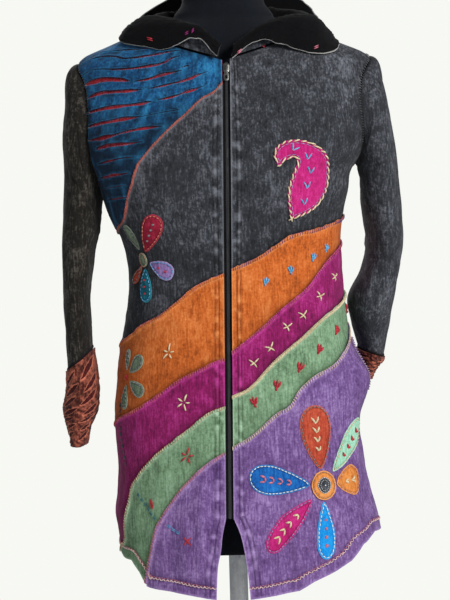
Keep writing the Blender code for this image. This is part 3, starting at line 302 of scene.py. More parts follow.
# The form stands inside the coat by this much: height, inset
FORM_INSET = np.array([
    (1.410, 0.0054), (1.376, 0.0060), (1.345, 0.0094), (1.320, 0.0098), (1.280, 0.0094), (1.200, 0.0100),
    (1.000, 0.0130), (0.900, 0.0190), (0.800, 0.0280), (0.600, 0.0460),
])
FORM_FRONT_INSET = 0.004
FORM_BOTTOM = 0.640
# height, half width, half depth
NECK = np.array([(1.425, 0.0590, 0.0550), (1.450, 0.0565, 0.0550), (1.500, 0.0550, 0.0540)])
NECK_MIDDLE_Y = 0.006
NECK_FROM = 1.400
CAP_FROM, CAP_TALL = 1.506, 0.0135


def unit(rows):
    """Each of some vectors at a length of one."""
    return rows / np.linalg.norm(rows, axis=-1, keepdims=True)


def spline(rows, column):
    """A smooth curve through a table's column against its first one."""
    rows = np.asarray(rows, float)
    rows = rows[np.argsort(rows[:, 0])]
    x, y = rows[:, 0], rows[:, column]
    step = np.diff(x)
    slope = np.diff(y) / step
    m = np.empty_like(y)
    m[0], m[-1] = slope[0], slope[-1]
    m[1:-1] = (slope[:-1] * step[1:] + slope[1:] * step[:-1]) / (step[1:] + step[:-1])

    def at(value):
        value = np.clip(np.asarray(value, float), x[0], x[-1])
        i = np.clip(np.searchsorted(x, value) - 1, 0, len(x) - 2)
        t = (value - x[i]) / step[i]
        ease = t * t * (3 - 2 * t)
        tangents = t * (1 - t) ** 2 * m[i] - t * t * (1 - t) * m[i + 1]
        return (1 - ease) * y[i] + ease * y[i + 1] + step[i] * tangents

    return at


def sloped(rows):
    """Straight lines through a two-column table."""
    return lambda value: np.interp(value, rows[:, 0], rows[:, 1])


RIGHT, LEFT, FRONT, BACK, SQUARE = (spline(BODY, column) for column in range(1, 6))
vent_right, vent_left = spline(VENT, 1), spline(VENT, 2)
neck_height = spline(NECKLINE, 1)
hem = sloped(HEM)
form_inset = spline(FORM_INSET, 1)


def neckline(angle):
    turned = np.abs((np.asarray(angle, float) + 180) % 360 - 180)
    return neck_height(turned)


def reach(angle, height):
    """How far the body's middle surface is from the axis, without its folds."""
    across, along = np.sin(np.radians(angle)), np.cos(np.radians(angle))
    wide = np.where(across >= 0, LEFT(height), RIGHT(height))
    deep = np.where(along >= 0, FRONT(height), BACK(height))
    n = SQUARE(height)
    return (np.abs(across / wide) ** n + np.abs(along / deep) ** n) ** (-1 / n)


def folds(angle, height):
    total = 0.0
    for middle, level, wide, tall, deep in FOLDS:
        turn = (angle - middle + 180) % 360 - 180
        total = total + deep * np.exp(-((turn / wide) ** 2) - ((height - level) / tall) ** 2)
    middle, level, wide, tall, proud = POCKET_BULGE
    swell = proud * np.exp(-((angle - middle) / wide) ** 2 - ((height - level) / tall) ** 2)
    tuck = np.clip((90 - angle) / 9, 0, 1)
    return total + swell * tuck * tuck * (3 - 2 * tuck)


def body_middle(flat):
    angle, height = flat[:, 0] / FLAT, flat[:, 1]
    r = reach(angle, height) + folds(angle, height)
    a = np.radians(angle)
    return np.stack([r * np.sin(a), -r * np.cos(a), height], 1)


def moved_out(middle, flat, out):
    """Points of a surface moved along its normals, which stand on the left of its two directions."""
    h = 1e-4
    right, up = np.array([h, 0]), np.array([0, h])
    across = middle(flat + right) - middle(flat - right)
    along = middle(flat + up) - middle(flat - up)
    return middle(flat) + np.reshape(out, (-1, 1)) * unit(np.cross(across, along))


def body(flat, out):
    return moved_out(body_middle, np.asarray(flat, float), out)


def anticlockwise(loop):
    nxt = np.roll(loop, -1, 0)
    area = (loop[:, 0] * nxt[:, 1] - nxt[:, 0] * loop[:, 1]).sum()
    return loop if area > 0 else loop[::-1]


def inset(loop, by):
    """An outline moved inwards, with its corners kept."""
    loop = anticlockwise(np.asarray(loop, float))
    before, after = loop - np.roll(loop, 1, 0), np.roll(loop, -1, 0) - loop
    n1 = np.stack([-before[:, 1], before[:, 0]], 1) / np.linalg.norm(before, axis=1)[:, None]
    n2 = np.stack([-after[:, 1], after[:, 0]], 1) / np.linalg.norm(after, axis=1)[:, None]
    bisector = n1 + n2
    bisector /= np.maximum((bisector * n1).sum(1), 0.5)[:, None]
    return loop + by * bisector


def lattice(loop, cell):
    low, high = loop.min(0), loop.max(0)
    rows = np.arange(low[1], high[1], cell * 0.866)
    points = []
    for number, y in enumerate(rows):
        x = np.arange(low[0] + cell / 2 * (number % 2), high[0], cell)
        points.append(np.stack([x, np.full(len(x), y)], 1))
    return np.concatenate(points)


def measured(points, curve, block=1500):
    """How far each point is from a line of points, and how far along the line its nearest place is."""
    a, b = curve[:-1], curve[1:]
    d = b - a
    long = np.linalg.norm(d, axis=1)
    start = np.concatenate([[0], np.cumsum(long)[:-1]])
    far, along_it = np.empty(len(points)), np.empty(len(points))
    for first in range(0, len(points), block):
        p = points[first:first + block, None]
        t = np.clip(((p - a) * d).sum(2) / np.maximum(long ** 2, 1e-18), 0, 1)
        gap = np.linalg.norm(p - a - t[..., None] * d, axis=2)
        best = gap.argmin(1)
        row = np.arange(len(best))
        far[first:first + block] = gap[row, best]
        along_it[first:first + block] = (start + t * long)[row, best]
    return far, along_it


def closed(loop):
    return np.concatenate([loop, loop[:1]])


def way_along(line):
    """How far along a line each of its points is."""
    return np.concatenate([[0], np.cumsum(np.linalg.norm(np.diff(line, axis=0), axis=1))])


def inside(points, loop, block=4000):
    """Whether each point is inside a closed outline."""
    a, b = loop, np.roll(loop, -1, 0)
    rise = np.where(a[:, 1] == b[:, 1], 1, b[:, 1] - a[:, 1])
    found = np.empty(len(points), bool)
    for first in range(0, len(points), block):
        x, y = points[first:first + block, :1], points[first:first + block, 1:]
        crosses = (a[:, 1] > y) != (b[:, 1] > y)
        left = x < a[:, 0] + (y - a[:, 1]) / rise * (b[:, 0] - a[:, 0])
        found[first:first + block] = (crosses & left).sum(1) % 2 == 1
    return found


def triangulated_with(outline, holes, cell, extra, cleared):
    """Points and anticlockwise triangles that fill an outline, its holes left open, with extra points.

    Each cleared line, with a distance, keeps the even lattice that far from it.
    """
    rims = [closed(loop) for loop in (outline, *holes)]
    grid = lattice(outline, cell)
    grid = grid[inside(grid, outline)]
    for line, far in [*((rim, cell * 0.5) for rim in rims), *cleared]:
        grid = grid[measured(grid, line)[0] > far]
    beside = np.concatenate([*extra, np.empty((0, 2))])
    beside = beside[inside(beside, outline)]
    for rim in rims:
        beside = beside[measured(beside, rim)[0] > 0.0010]
    points = np.concatenate([outline, *holes, beside, grid])
    edges, start = [], 0
    for loop in (outline, *holes):
        count = len(loop)
        edges += [(start + i, start + (i + 1) % count) for i in range(count)]
        start += count
    done = delaunay_2d_cdt([Vector(p) for p in points], edges, [], 0, 1e-7, False)
    points = np.array([tuple(p) for p in done[0]])
    faces = np.array(done[2])
    middles = points[faces].mean(1)
    kept = inside(middles, outline)
    for hole in holes:
        kept &= ~inside(middles, hole)
    faces = faces[kept]
    side_a, side_b = points[faces[:, 1]] - points[faces[:, 0]], points[faces[:, 2]] - points[faces[:, 0]]
    turn = side_a[:, 0] * side_b[:, 1] - side_a[:, 1] * side_b[:, 0]
    faces = np.where(turn[:, None] < 0, faces[:, ::-1], faces)
    used, faces = np.unique(faces, return_inverse=True)
    return points[used], faces.reshape(-1, 3)


# Curves of the coat's outline, in flat metres


def zip_x(height):
    return ZIP_TOP_X - ZIP_LEAN * (ZIP_TOP - height)


def front_edge(side, height):
    """The angle of a front's edge beside the zip, and of the open vent below it."""
    vent = vent_right(height) if side == "right" else vent_left(height)
    x = np.where(height > ZIP_FOOT, zip_x(height) + SIDE[side] * ZIP_HALF_GAP, vent)
    return np.degrees(np.arctan2(x, FRONT(height)))


def armhole(side, turns, shrink=0.0):
    """Places round an armhole, from its top, as angles and heights."""
    level, tall, wide = ARMHOLE[side]
    turn = np.radians(turns)
    return np.stack([
        SIDE[side] * 90 + (wide - shrink / FLAT) * np.sin(turn),
        level + (tall - shrink) * np.cos(turn),
    ], 1)


def flat(places):
    places = np.asarray(places, float)
    return places * np.array([FLAT, 1.0])


def meets_edge(side, curve):
    """Where a seam meets its front's edge."""
    angle = 0.0
    for _ in range(8):
        angle = float(front_edge(side, curve(angle)))
    return angle


def stations(start, end):
    """Angles along a seam, the same ones for both of its pieces."""
    low, high = min(start, end), max(start, end)
    between = np.arange(math.ceil((low + 1.5) / SEAM_STEP), math.floor((high - 1.5) / SEAM_STEP) + 1)
    return np.array([low, *(between * SEAM_STEP), high])


def along(curve, start, end):
    angles = stations(start, end)
    return np.stack([angles, curve(angles)], 1)


def upright(place, low, high, step=0.004):
    """Places up an edge between two heights, its ends left out. The edge may lean."""
    count = max(1, round((high - low) / step))
    heights = np.linspace(low, high, count + 1)[1:-1]
    angles = place(heights) if callable(place) else place
    return np.stack([np.broadcast_to(angles, heights.shape), heights], 1)


def above_hem(curve):
    return lambda angle: np.maximum(curve(angle), hem(angle))


def last_wide(top, bottom, start, end, least=0.004):
    """How far towards end a band stays wider than least."""
    angles = np.linspace(start, end, 721)
    narrow = np.nonzero(top(angles) - bottom(angles) < least)[0]
    return end if len(narrow) == 0 else float(angles[max(narrow[0] - 1, 0)])


def front_band(side, top, bottom):
    """The outline of a band of a front, between two seams, from the zip to the side seam."""
    edge, foot = 90.0 * SIDE[side], above_hem(bottom)
    near_top, near_foot = meets_edge(side, top), meets_edge(side, foot)
    far = last_wide(top, foot, near_top, edge)
    lower, upper = along(foot, near_foot, far), along(top, near_top, far)
    zipped = upright(lambda z: front_edge(side, z), float(foot(near_foot)), float(top(near_top)))
    if side == "left":
        seam = upright(edge, lower[-1, 1], upper[-1, 1])
        return flat(np.concatenate([lower, seam, upper[::-1], zipped[::-1]]))
    seam = upright(edge, lower[0, 1], upper[0, 1])
    return flat(np.concatenate([lower, zipped, upper[::-1], seam[::-1]]))


def front_top(side, bottom):
    """The outline of the piece above a seam, round the armhole and up to the shoulder and neck."""
    edge = 90.0 * SIDE[side]
    near = meets_edge(side, bottom)
    lower = along(bottom, near, edge)
    turns = np.linspace(180, 0, ROUND // 2 + 1)
    level, tall, _ = ARMHOLE[side]
    hole = armhole(side, 360 - turns if side == "left" else turns)
    neck_end = meets_edge(side, neckline)
    neck = along(neckline, neck_end, edge)
    shoulder = upright(edge, level + tall, float(neckline(edge)), 0.02)
    below = upright(edge, float(bottom(edge)), level - tall)
    zipped = upright(lambda z: front_edge(side, z), float(bottom(near)), float(neckline(neck_end)))
    if side == "left":
        parts = [lower, below, hole, shoulder, neck[::-1], zipped[::-1]]
    else:
        parts = [lower, zipped, neck[::-1], shoulder[::-1], hole[::-1], below[::-1]]
    return flat(np.concatenate(parts))


def back_seam(name):
    left, middle, right = BACK_SEAMS[name]
    return spline([(90, left), (135, (left * 0.55 + middle * 0.45)), (180, middle),
                   (225, (right * 0.5 + middle * 0.5)), (270, right)], 1)


def back_band(top, bottom):
    foot = above_hem(bottom)
    far = last_wide(top, foot, 90.0, 270.0)
    lower, upper = along(foot, 90.0, far), along(top, 90.0, far)
    left, right = upright(90.0, lower[0, 1], upper[0, 1]), upright(far, lower[-1, 1], upper[-1, 1])
    return flat(np.concatenate([lower, right, upper[::-1], left[::-1]]))


def back_top(bottom):
    """The back above its first seam, between the two armholes and up to the neck."""
    turns = np.linspace(0, 180, ROUND // 2 + 1)
    holes = {"left": armhole("left", turns), "right": armhole("right", 180 + turns) + np.array([360.0, 0])}

    def side_seam(side, edge):
        level, tall, _ = ARMHOLE[side]
        below = upright(edge, float(bottom(edge)), level - tall)
        return below, holes[side], upright(edge, level + tall, float(neckline(edge)), 0.02)

    below, hole, shoulder = side_seam("left", 90.0)
    parts = [along(bottom, 90.0, 270.0), *side_seam("right", 270.0), along(neckline, 90.0, 270.0)[::-1],
             shoulder[::-1], hole, below[::-1]]
    return flat(np.concatenate(parts))


def lens(start, end, wide, sides=20):
    """A slit that opens in its middle, from one flat point to another."""
    start, end = np.asarray(start, float), np.asarray(end, float)
    t = np.linspace(0, 1, sides + 1)[:, None]
    line = start + (end - start) * t
    across = np.array([-(end - start)[1], (end - start)[0]]) / np.linalg.norm(end - start)
    bow = across * (wide / 2) * (4 * t * (1 - t))
    return np.concatenate([line - bow, (line + bow)[1:-1][::-1]])


def sleeve_middle(side):
    """The middle surface of a sleeve, from a turn in degrees and a row of its table, 0 at the armhole."""
    rows = SLEEVE[side]
    index = np.arange(1, len(rows) + 1)[:, None]
    columns = [spline(np.hstack([index, rows]), column) for column in range(1, 7)]
    sign = SIDE[side]

    def at(turns, row):
        turn = np.radians(turns)
        ring = armhole(side, turns, SET_IN)
        start = body_middle(flat(ring))
        clipped = np.maximum(row, 1)
        ox, oz, ix, iz, y, deep = (column(clipped) for column in columns)
        across = np.cos(turn)
        x = sign * ((ox + ix) / 2 + (ox - ix) / 2 * across)
        z = (oz + iz) / 2 + (oz - iz) / 2 * across
        section = np.stack([x, y + sign * deep * np.sin(turn), z], 1)
        s = np.clip(row, 0, 1)
        share = np.stack([1 - (1 - s) ** 2, s, s * s], 1)
        return np.where(row[:, None] < 1, start + (section - start) * share, section)

    return at


def sleeve_place(side):
    at = sleeve_middle(side)
    return lambda points, out: moved_out(
        lambda p: at(p[:, 0] / CUFF_FLAT, p[:, 1] / -CUFF_LONG), np.asarray(points, float), out)


def cuff_flat(places):
    return np.asarray(places, float) * np.array([CUFF_FLAT, -CUFF_LONG])


def hood_section(angle, steps):
    """Points of the hood's middle surface from the neckline to its rim, at one angle round the neck."""
    level = float(neckline(angle))
    slope = abs(float(reach(angle, level + 1e-3) - reach(angle, level - 1e-3))) / 2e-3
    level += 0.0035 / max(1.0, slope)
    start = float(reach(angle, level)) + HOOD_LIFT
    columns = [float(spline(HOOD_ROUND, column)(angle)) for column in range(1, 9)]
    places = np.array([(0, 0, 0), *((k + 1, columns[2 * k], columns[2 * k + 1]) for k in range(4))])
    t = np.linspace(0, 4, steps)
    out, up = spline(places, 1)(t), spline(places, 2)(t)
    height = level + up
    clear = reach(angle, np.minimum(height, 1.41)) + HOOD_CLEAR * np.clip(t / 0.8, 0, 1)
    far = np.where(height < 1.408, np.maximum(start + out, clear), start + out)
    a = math.radians(angle)
    x = far * math.sin(a) + HOOD_LEAN * np.maximum(up, 0)
    return np.stack([x, -far * math.cos(a), height], 1)


def slider_frame():
    """Where the slider sits on the zip: its origin, and its across, up and out directions."""
    at = flat([(math.degrees(math.atan2(float(zip_x(SLIDER_HEIGHT)), float(FRONT(SLIDER_HEIGHT)))),
                SLIDER_HEIGHT)])
    origin = body_middle(at)[0]
    above = body_middle(at + np.array([[0, 1e-3]]))[0] - origin
    up = np.array([0, above[1], above[2]]) / math.hypot(above[1], above[2])
    across = np.array([1.0, 0, 0])
    return origin, across, up, np.cross(across, up)


def oval(half_wide, half_tall, middle=(0, 0), sides=16):
    turn = np.arange(sides) * 2 * math.pi / sides
    return np.stack([middle[0] + half_wide * np.cos(turn), middle[1] + half_tall * np.sin(turn)], 1)


# Patches sewn on the coat


def petal(length, wide, sides=48):
    """A drop outline from its narrow end at the origin along +y."""
    turn = np.linspace(0, 2 * math.pi, sides, endpoint=False)
    y = (1 - np.cos(turn)) / 2
    fat = np.sin(turn) * (0.3 + 0.7 * y) ** 0.8
    return np.stack([wide / 2 * fat / 0.82, length * y], 1)


def turned(outline, degrees):
    """An outline turned clockwise from +y."""
    a = math.radians(degrees)
    x, y = np.asarray(outline).T
    return np.stack([x * math.cos(a) + y * math.sin(a), -x * math.sin(a) + y * math.cos(a)], 1)


def at_place(outline, angle, height):
    """An outline in real metres, set on the body at an angle and a height."""
    here = flat([(angle, height)])
    step = 1e-3
    across = np.linalg.norm(body_middle(here + [[step, 0]]) - body_middle(here - [[step, 0]])) / (2 * step)
    return here + np.asarray(outline) / np.array([across, 1.0])


def paisley_outline(steps=56):
    """A fat drop whose top curls over, from where its middle line heads and how wide it is along it."""
    share = np.linspace(0, 1, steps + 1)
    heading = np.radians(spline(PAISLEY, 1)(share))
    half = spline(PAISLEY, 2)(share)
    step = PAISLEY_LONG / steps * np.stack([np.sin(heading), np.cos(heading)], 1)
    middle = np.cumsum(step, 0) - step / 2 - step[0] / 2
    across = np.stack([-np.cos(heading), np.sin(heading)], 1)
    left, right = middle + across * half[:, None], middle - across * half[:, None]
    return np.concatenate([right, left[1:-1][::-1]]) * np.array([PAISLEY_STRETCH, 1.0])


# Large flower: name, colour, turn, length, wide, where its narrow end stands from the middle
BIG_FLOWER_AT = (48.2, 0.7385)
BIG_FLOWER = (
    ("top", "rust", -3.5, 0.0890, 0.0540, 0.0235),
    ("upper_right", "mint", 46, 0.0960, 0.0330, 0.0250),
    ("right", "orange", 88, 0.0420, 0.0460, 0.0220),
    ("bottom", "bright_blue", 185, 0.0790, 0.0290, 0.0230),
    ("lower_left", "magenta", 229, 0.1000, 0.0360, 0.0280),
    ("left", "bright_blue", 278.5, 0.1020, 0.0450, 0.0220),
)
BIG_MIDDLE = (0.0190, 0.0205)  # half widths and half heights
BIG_EYE = (0.0100, 0.0112)
SMALL_MIDDLE = (0.0080, 0.0105)
# The paisley stands on its foot, leans to the wearer's left and curls back over its top.
# share of its middle line, the heading there in degrees clockwise from upright, half width
PAISLEY_AT = (36.5, 1.111)
PAISLEY_LONG = 0.1480
PAISLEY_STRETCH = 1.12  # the coat turns away from the front here
PAISLEY = np.array([
    (0.00, 33, 0.0000), (0.15, 26, 0.0180), (0.33, 16, 0.0255), (0.50, -2, 0.0225), (0.64, -38, 0.0160),
    (0.77, -92, 0.0120), (0.88, -145, 0.0100), (1.00, -185, 0.0000),
])
SMALL_FLOWER_AT = (-57.5, 1.060)
SMALL_FLOWER = (
    ("top", "red", 32, 0.0590, 0.0310, 0.0130),
    ("side", "lilac", 114, 0.0410, 0.0280, 0.0130),
    ("bottom", "teal", 182, 0.0480, 0.0270, 0.0130),
    ("leaf", "grey_green", -23, 0.0380, 0.0170, 0.0150),
    ("rust", "rust", 224, 0.0340, 0.0140, 0.0140),
)
GREEN_FLOWER_AT = (-66.8, 0.893)
GREEN_FLOWER = (
    ("top", "grey_green", -5, 0.0300, 0.0110, 0.0100),
    ("right", "grey_green", 44, 0.0330, 0.0220, 0.0095),
    ("low", "grey_green", 122, 0.0320, 0.0215, 0.0100),
    ("foot", "grey_green", 183, 0.0350, 0.0160, 0.0110),
)

# Creases and unevenness of the cloth


def noise(x, y, seed=0):
    """Smooth unevenness between -1 and 1 over a plane, the same on each run."""
    xi, yi = np.floor(x).astype(np.int64), np.floor(y).astype(np.int64)
    fx, fy = x - xi, y - yi
    ex, ey = fx * fx * (3 - 2 * fx), fy * fy * (3 - 2 * fy)

    def corner(i, j):
        n = (i * 374761393 + j * 668265263 + seed * 974634777) & 0xFFFFFFFF
        n = ((n ^ (n >> 13)) * 1274126177) & 0xFFFFFFFF
        return ((n ^ (n >> 16)) & 0xFFFF) / 32767.5 - 1

    low = corner(xi, yi) * (1 - ex) + corner(xi + 1, yi) * ex
    high = corner(xi, yi + 1) * (1 - ex) + corner(xi + 1, yi + 1) * ex
    return low * (1 - ey) + high * ey


def waver(s, step, seed):
    """Unevenness along a line alone."""
    return noise(s / step, 0 * s, seed)


def bell(d, wide, middle=0.0):
    return np.exp(-((d - middle) / wide) ** 2)


def eased(t):
    return t * t * (3 - 2 * t)


def creased(points, rows, scale):
    """How far soft creases lift the cloth. Each row gives two ends, a bow, a half width and a depth in mm."""
    total = np.zeros(len(points))
    for x0, y0, x1, y1, bow, wide, deep in rows:
        start, end = np.array([x0, y0]) * scale, np.array([x1, y1]) * scale
        run = end - start
        long = np.hypot(*run)
        near = np.linalg.norm(points - (start + end) / 2, axis=1) < long / 2 + wide * 4e-3 + abs(bow) * 1e-3
        p = points[near] - start
        t = (p @ run) / long ** 2
        side = (p[:, 1] * run[0] - p[:, 0] * run[1]) / long
        side = side - bow * 1e-3 * 4 * np.clip(t, 0, 1) * (1 - np.clip(t, 0, 1))
        fade = eased(np.clip(t * 4, 0, 1) * np.clip((1 - t) * 4, 0, 1))
        total[near] += deep * 1e-3 * fade * bell(side, wide * 1e-3)
    return total


def crinkle(points):
    x, y = points[:, 0], points[:, 1]
    return (0.0006 * noise(x / 0.036, y / 0.030, 1) + 0.00042 * noise(x / 0.014, y / 0.0115, 2)
            + 0.0002 * noise(x / 0.0075, y / 0.0085, 3))


# Creases in the body: from angle, height, to angle, height, bow, half width and depth in mm
BODY_CREASES = np.array([
    # below the armholes and across the waist on the wearer's right
    (-88, 1.100, -62, 1.030, 6, 7, -2.4), (-84, 1.075, -50, 1.000, 8, 6, 1.6),
    (-90, 1.020, -58, 0.985, -5, 6, -1.8), (-60, 1.085, -24, 1.048, 5, 5, -0.9),
    (-48, 1.200, -20, 1.150, -6, 7, 0.9), (-52, 1.150, -30, 1.075, 5, 8, -1.1),
    (-88, 0.990, -60, 0.940, 6, 6, -1.6), (-40, 0.985, -16, 0.960, 4, 6, -0.8),
    # across the wearer's left front
    (88, 1.135, 60, 1.100, -6, 6, -2.0), (84, 1.170, 58, 1.150, 5, 7, 1.4),
    (40, 1.180, 16, 1.150, 4, 8, 0.9), (58, 1.235, 50, 1.160, 6, 8, -1.2),
    (30, 1.270, 22, 1.190, -5, 9, 0.9), (12, 1.300, 9, 1.200, 3, 7, -0.8),
    (70, 1.060, 40, 1.045, 4, 6, -0.8), (30, 1.030, 10, 1.012, -3, 6, 0.7),
    # soft hanging folds below the hip
    (20, 0.780, 27, 0.612, 6, 9, -2.6), (29, 0.720, 36, 0.612, -4, 8, 1.8),
    (55, 0.700, 58, 0.640, 3, 9, -1.8), (10, 0.700, 12, 0.600, 2, 7, 1.3),
    (-18, 0.740, -14, 0.605, 4, 8, -1.4), (-29, 0.690, -27, 0.612, -3, 7, 1.2),
    (-44, 0.820, -54, 0.640, -7, 9, -1.8), (-66, 0.800, -72, 0.665, 5, 9, 1.6),
    (-78, 0.780, -84, 0.660, -4, 8, -2.0), (74, 0.870, 66, 0.720, 7, 9, 1.8),
    (84, 0.840, 78, 0.700, -5, 8, -1.6), (64, 0.850, 58, 0.760, 5, 7, -1.0),
    # the back, where the coat falls in from the shoulder blades and flares below the seat
    (112, 1.330, 150, 1.285, -6, 10, -1.6), (248, 1.330, 212, 1.290, 6, 10, -1.5),
    (180, 1.345, 181, 1.200, 4, 12, 1.0), (98, 1.120, 140, 1.060, 7, 8, -2.4),
    (96, 1.085, 132, 1.030, 8, 7, 1.7), (262, 1.095, 222, 1.040, -7, 8, -2.4),
    (265, 1.060, 230, 1.010, -8, 7, 1.7), (150, 1.075, 205, 1.068, -4, 7, -1.5),
    (140, 1.030, 190, 1.022, 5, 7, 1.3), (170, 0.990, 225, 0.980, -5, 8, -1.2),
    (104, 0.960, 112, 0.700, 8, 11, -2.6), (128, 0.920, 133, 0.640, -6, 10, 2.2),
    (152, 0.900, 156, 0.630, 6, 11, -2.6), (176, 0.930, 176, 0.625, -5, 10, 2.0),
    (198, 0.900, 202, 0.630, 5, 11, -2.4), (222, 0.920, 219, 0.640, -6, 10, 2.2),
    (243, 0.900, 248, 0.660, 6, 10, -2.4), (118, 0.800, 121, 0.630, 3, 7, 1.2),
    (186, 0.760, 189, 0.625, 3, 6, -1.1), (232, 0.780, 233, 0.650, 3, 7, -1.1),
])

# Creases in the sleeves: from turn, row, to turn, row, bow, half width and depth in mm
SLEEVE_CREASES = {
    "left": np.array([
        (297, 0.6, 313, 2.2, 4, 4.5, 2.6), (313, 2.2, 292, 3.2, -4, 4.5, 2.4),
        (292, 3.1, 262, 4.0, 3, 5, 2.0), (272, 1.0, 286, 2.3, -4, 4, -2.0),
        (246, 2.3, 300, 3.0, -5, 4.5, 2.6), (236, 2.5, 290, 3.5, 5, 5, -3.0),
        (262, 2.4, 254, 3.3, 8, 3.6, 2.6), (230, 3.6, 275, 4.3, 4, 6, -1.6),
        (300, 4.0, 250, 5.0, -5, 7, 1.6), (330, 4.6, 262, 5.7, 6, 6, -2.4),
        (340, 5.2, 255, 6.3, -6, 5, 2.8), (345, 6.0, 268, 6.6, 4, 5, -2.4),
        (208, 6.15, 285, 6.35, -3, 3.6, 3.0), (205, 6.45, 300, 6.75, 5, 5, -2.6),
        (322, 6.2, 300, 8.2, 6, 6, 2.8), (300, 6.6, 262, 8.3, -5, 6, -2.6),
        (232, 6.7, 258, 8.5, 4, 5, 2.2), (282, 7.2, 276, 8.8, 3, 5, 1.8),
        (345, 6.6, 335, 8.6, -4, 6, -2.0), (215, 7.2, 232, 8.7, 5, 5, -1.6),
        (20, 1.0, 60, 2.4, 5, 6, -2.0), (110, 1.2, 70, 2.6, -5, 6, 2.0), (150, 2.0, 90, 3.4, 6, 6, -2.4),
        (40, 3.6, 110, 4.6, 5, 7, 1.8), (150, 4.6, 60, 5.6, -6, 6, -2.4), (170, 5.6, 80, 6.4, 6, 5, 2.8),
        (30, 6.2, 120, 6.9, -4, 6, -2.4), (60, 7.0, 90, 8.5, 5, 6, 2.0), (140, 6.9, 120, 8.6, -4, 6, -1.8),
    ]),
    "right": np.array([
        (60, 0.6, 110, 1.8, 5, 5, -2.4), (40, 1.0, 96, 2.6, -6, 5, 2.4), (128, 1.4, 60, 3.0, 6, 6, -2.2),
        (150, 2.2, 84, 3.4, -5, 5, 2.4), (30, 2.6, 70, 3.8, 4, 7, -1.6), (140, 3.4, 60, 4.4, 5, 7, 1.4),
        (60, 4.2, 110, 5.6, -6, 8, -1.4), (30, 4.8, 50, 6.6, 4, 8, 1.5), (130, 5.0, 110, 6.8, 4, 8, -1.6),
        (75, 5.8, 95, 7.4, 5, 6, 1.4), (120, 7.4, 70, 8.6, -4, 6, -1.6), (40, 7.2, 55, 8.8, 3, 7, 1.2),
        (200, 0.9, 260, 2.0, 5, 6, -2.0), (300, 1.2, 240, 2.8, -5, 6, 2.0),
        (210, 3.0, 280, 4.2, 6, 7, -1.8), (320, 3.6, 250, 4.8, 5, 7, 1.6),
        (220, 5.0, 290, 6.2, -6, 6, 2.2), (230, 5.6, 310, 6.8, 6, 6, -2.2),
        (250, 7.0, 270, 8.7, 4, 6, 1.6), (310, 7.0, 300, 8.6, -4, 7, -1.6),
    ]),
}


def body_out(points):
    """How far the coat's face stands proud of its even surface at flat points."""
    return creased(points, BODY_CREASES, np.array([FLAT, 1.0])) + crinkle(points)


def sleeve_out(side, points):
    turn, row = points[:, 0] / CUFF_FLAT, points[:, 1] / -CUFF_LONG
    set_in = np.clip(row / 0.4, 0, 1)
    calm = 1 - np.clip((row - CUFF_FROM[side] + 0.3) / 0.3, 0, 1)
    wrapped = [creased(points + np.array([shift * 360 * CUFF_FLAT, 0]), SLEEVE_CREASES[side],
                       np.array([CUFF_FLAT, -CUFF_LONG])) for shift in (-1, 0, 1)]
    a = np.radians(turn)
    ring = 0.046
    uneven = (0.0007 * noise(np.cos(a) * ring / 0.03 + 7, row * 1.3 + np.sin(a) * 2.1, 11)
              + 0.0005 * noise(np.cos(a) * ring / 0.012, row * 3.6 + np.sin(a) * 4.4, 12)
              + 0.00025 * noise(np.cos(a) * ring / 0.007, row * 6.1 + np.sin(a) * 7.3, 13))
    return (sum(wrapped) * calm + uneven) * set_in


def on_body(points, level):
    points = np.asarray(points, float)
    return body(points, body_out(points) + np.ravel(level))


def on_sleeve(side):
    place = sleeve_place(side)

    def at(points, level):
        points = np.asarray(points, float)
        return place(points, sleeve_out(side, points) + np.ravel(level))

    return at


# Finishes


def srgb(red, green, blue):
    """A colour as it looks, in parts of 255, as the shader takes it."""
    parts = [((c / 255 + 0.055) / 1.055) ** 2.4 if c > 10 else c / 255 / 12.92 for c in (red, green, blue)]
    return (*parts, 1.0)


def feed(tree, socket, value):
    """Links a socket, or sets its own value."""
    if isinstance(value, bpy.types.NodeSocket):
        tree.links.new(value, socket)
    else:
        socket.default_value = value


def add_node(tree, kind, inputs=None, **settings):
    made = tree.nodes.new(kind)
    for key, value in settings.items():
        setattr(made, key, value)
    for key, value in (inputs or {}).items():
        feed(tree, made.inputs[key], value)
    return made


def sums(tree, operation, *values, clamp=False):
    """One Math node's result."""
    made = add_node(tree, "ShaderNodeMath", operation=operation, use_clamp=clamp)
    for socket, value in zip(made.inputs, values):
        feed(tree, socket, value)
    return made.outputs[0]


def steeper(tree, value, middle, slope):
    """How far a value is past a middle, made steeper, from 0 to 1."""
    return sums(tree, "MULTIPLY", sums(tree, "SUBTRACT", value, middle), slope, clamp=True)


def mixed(tree, share, first, second):
    return add_node(tree, "ShaderNodeMix", {0: share, 6: first, 7: second}, data_type="RGBA").outputs[2]


def group(name, inputs, outputs):
    """A new shader node group with its sockets, and its two end nodes."""
    tree = bpy.data.node_groups.new(name, "ShaderNodeTree")
    for key, (kind, value) in inputs.items():
        tree.interface.new_socket(key, in_out="INPUT", socket_type=kind).default_value = value
    for key, kind in outputs.items():
        tree.interface.new_socket(key, in_out="OUTPUT", socket_type=kind)
    return tree, tree.nodes.new("NodeGroupInput").outputs, tree.nodes.new("NodeGroupOutput")


NUMBER, COLOUR = "NodeSocketFloat", "NodeSocketColor"
BLACK = (COLOUR, (0, 0, 0, 1))


def object_noise(tree, scale, detail=4.0, roughness=0.6, stretch=(1, 1, 1), distortion=0.0):
    at = add_node(tree, "ShaderNodeTexCoord").outputs["Object"]
    vector = add_node(tree, "ShaderNodeMapping", {"Vector": at, "Scale": stretch}).outputs[0]
    made = add_node(tree, "ShaderNodeTexNoise",
                    {"Vector": vector, "Scale": scale, "Detail": detail, "Roughness": roughness,
                     "Distortion": distortion})
    return made.outputs["Fac"]


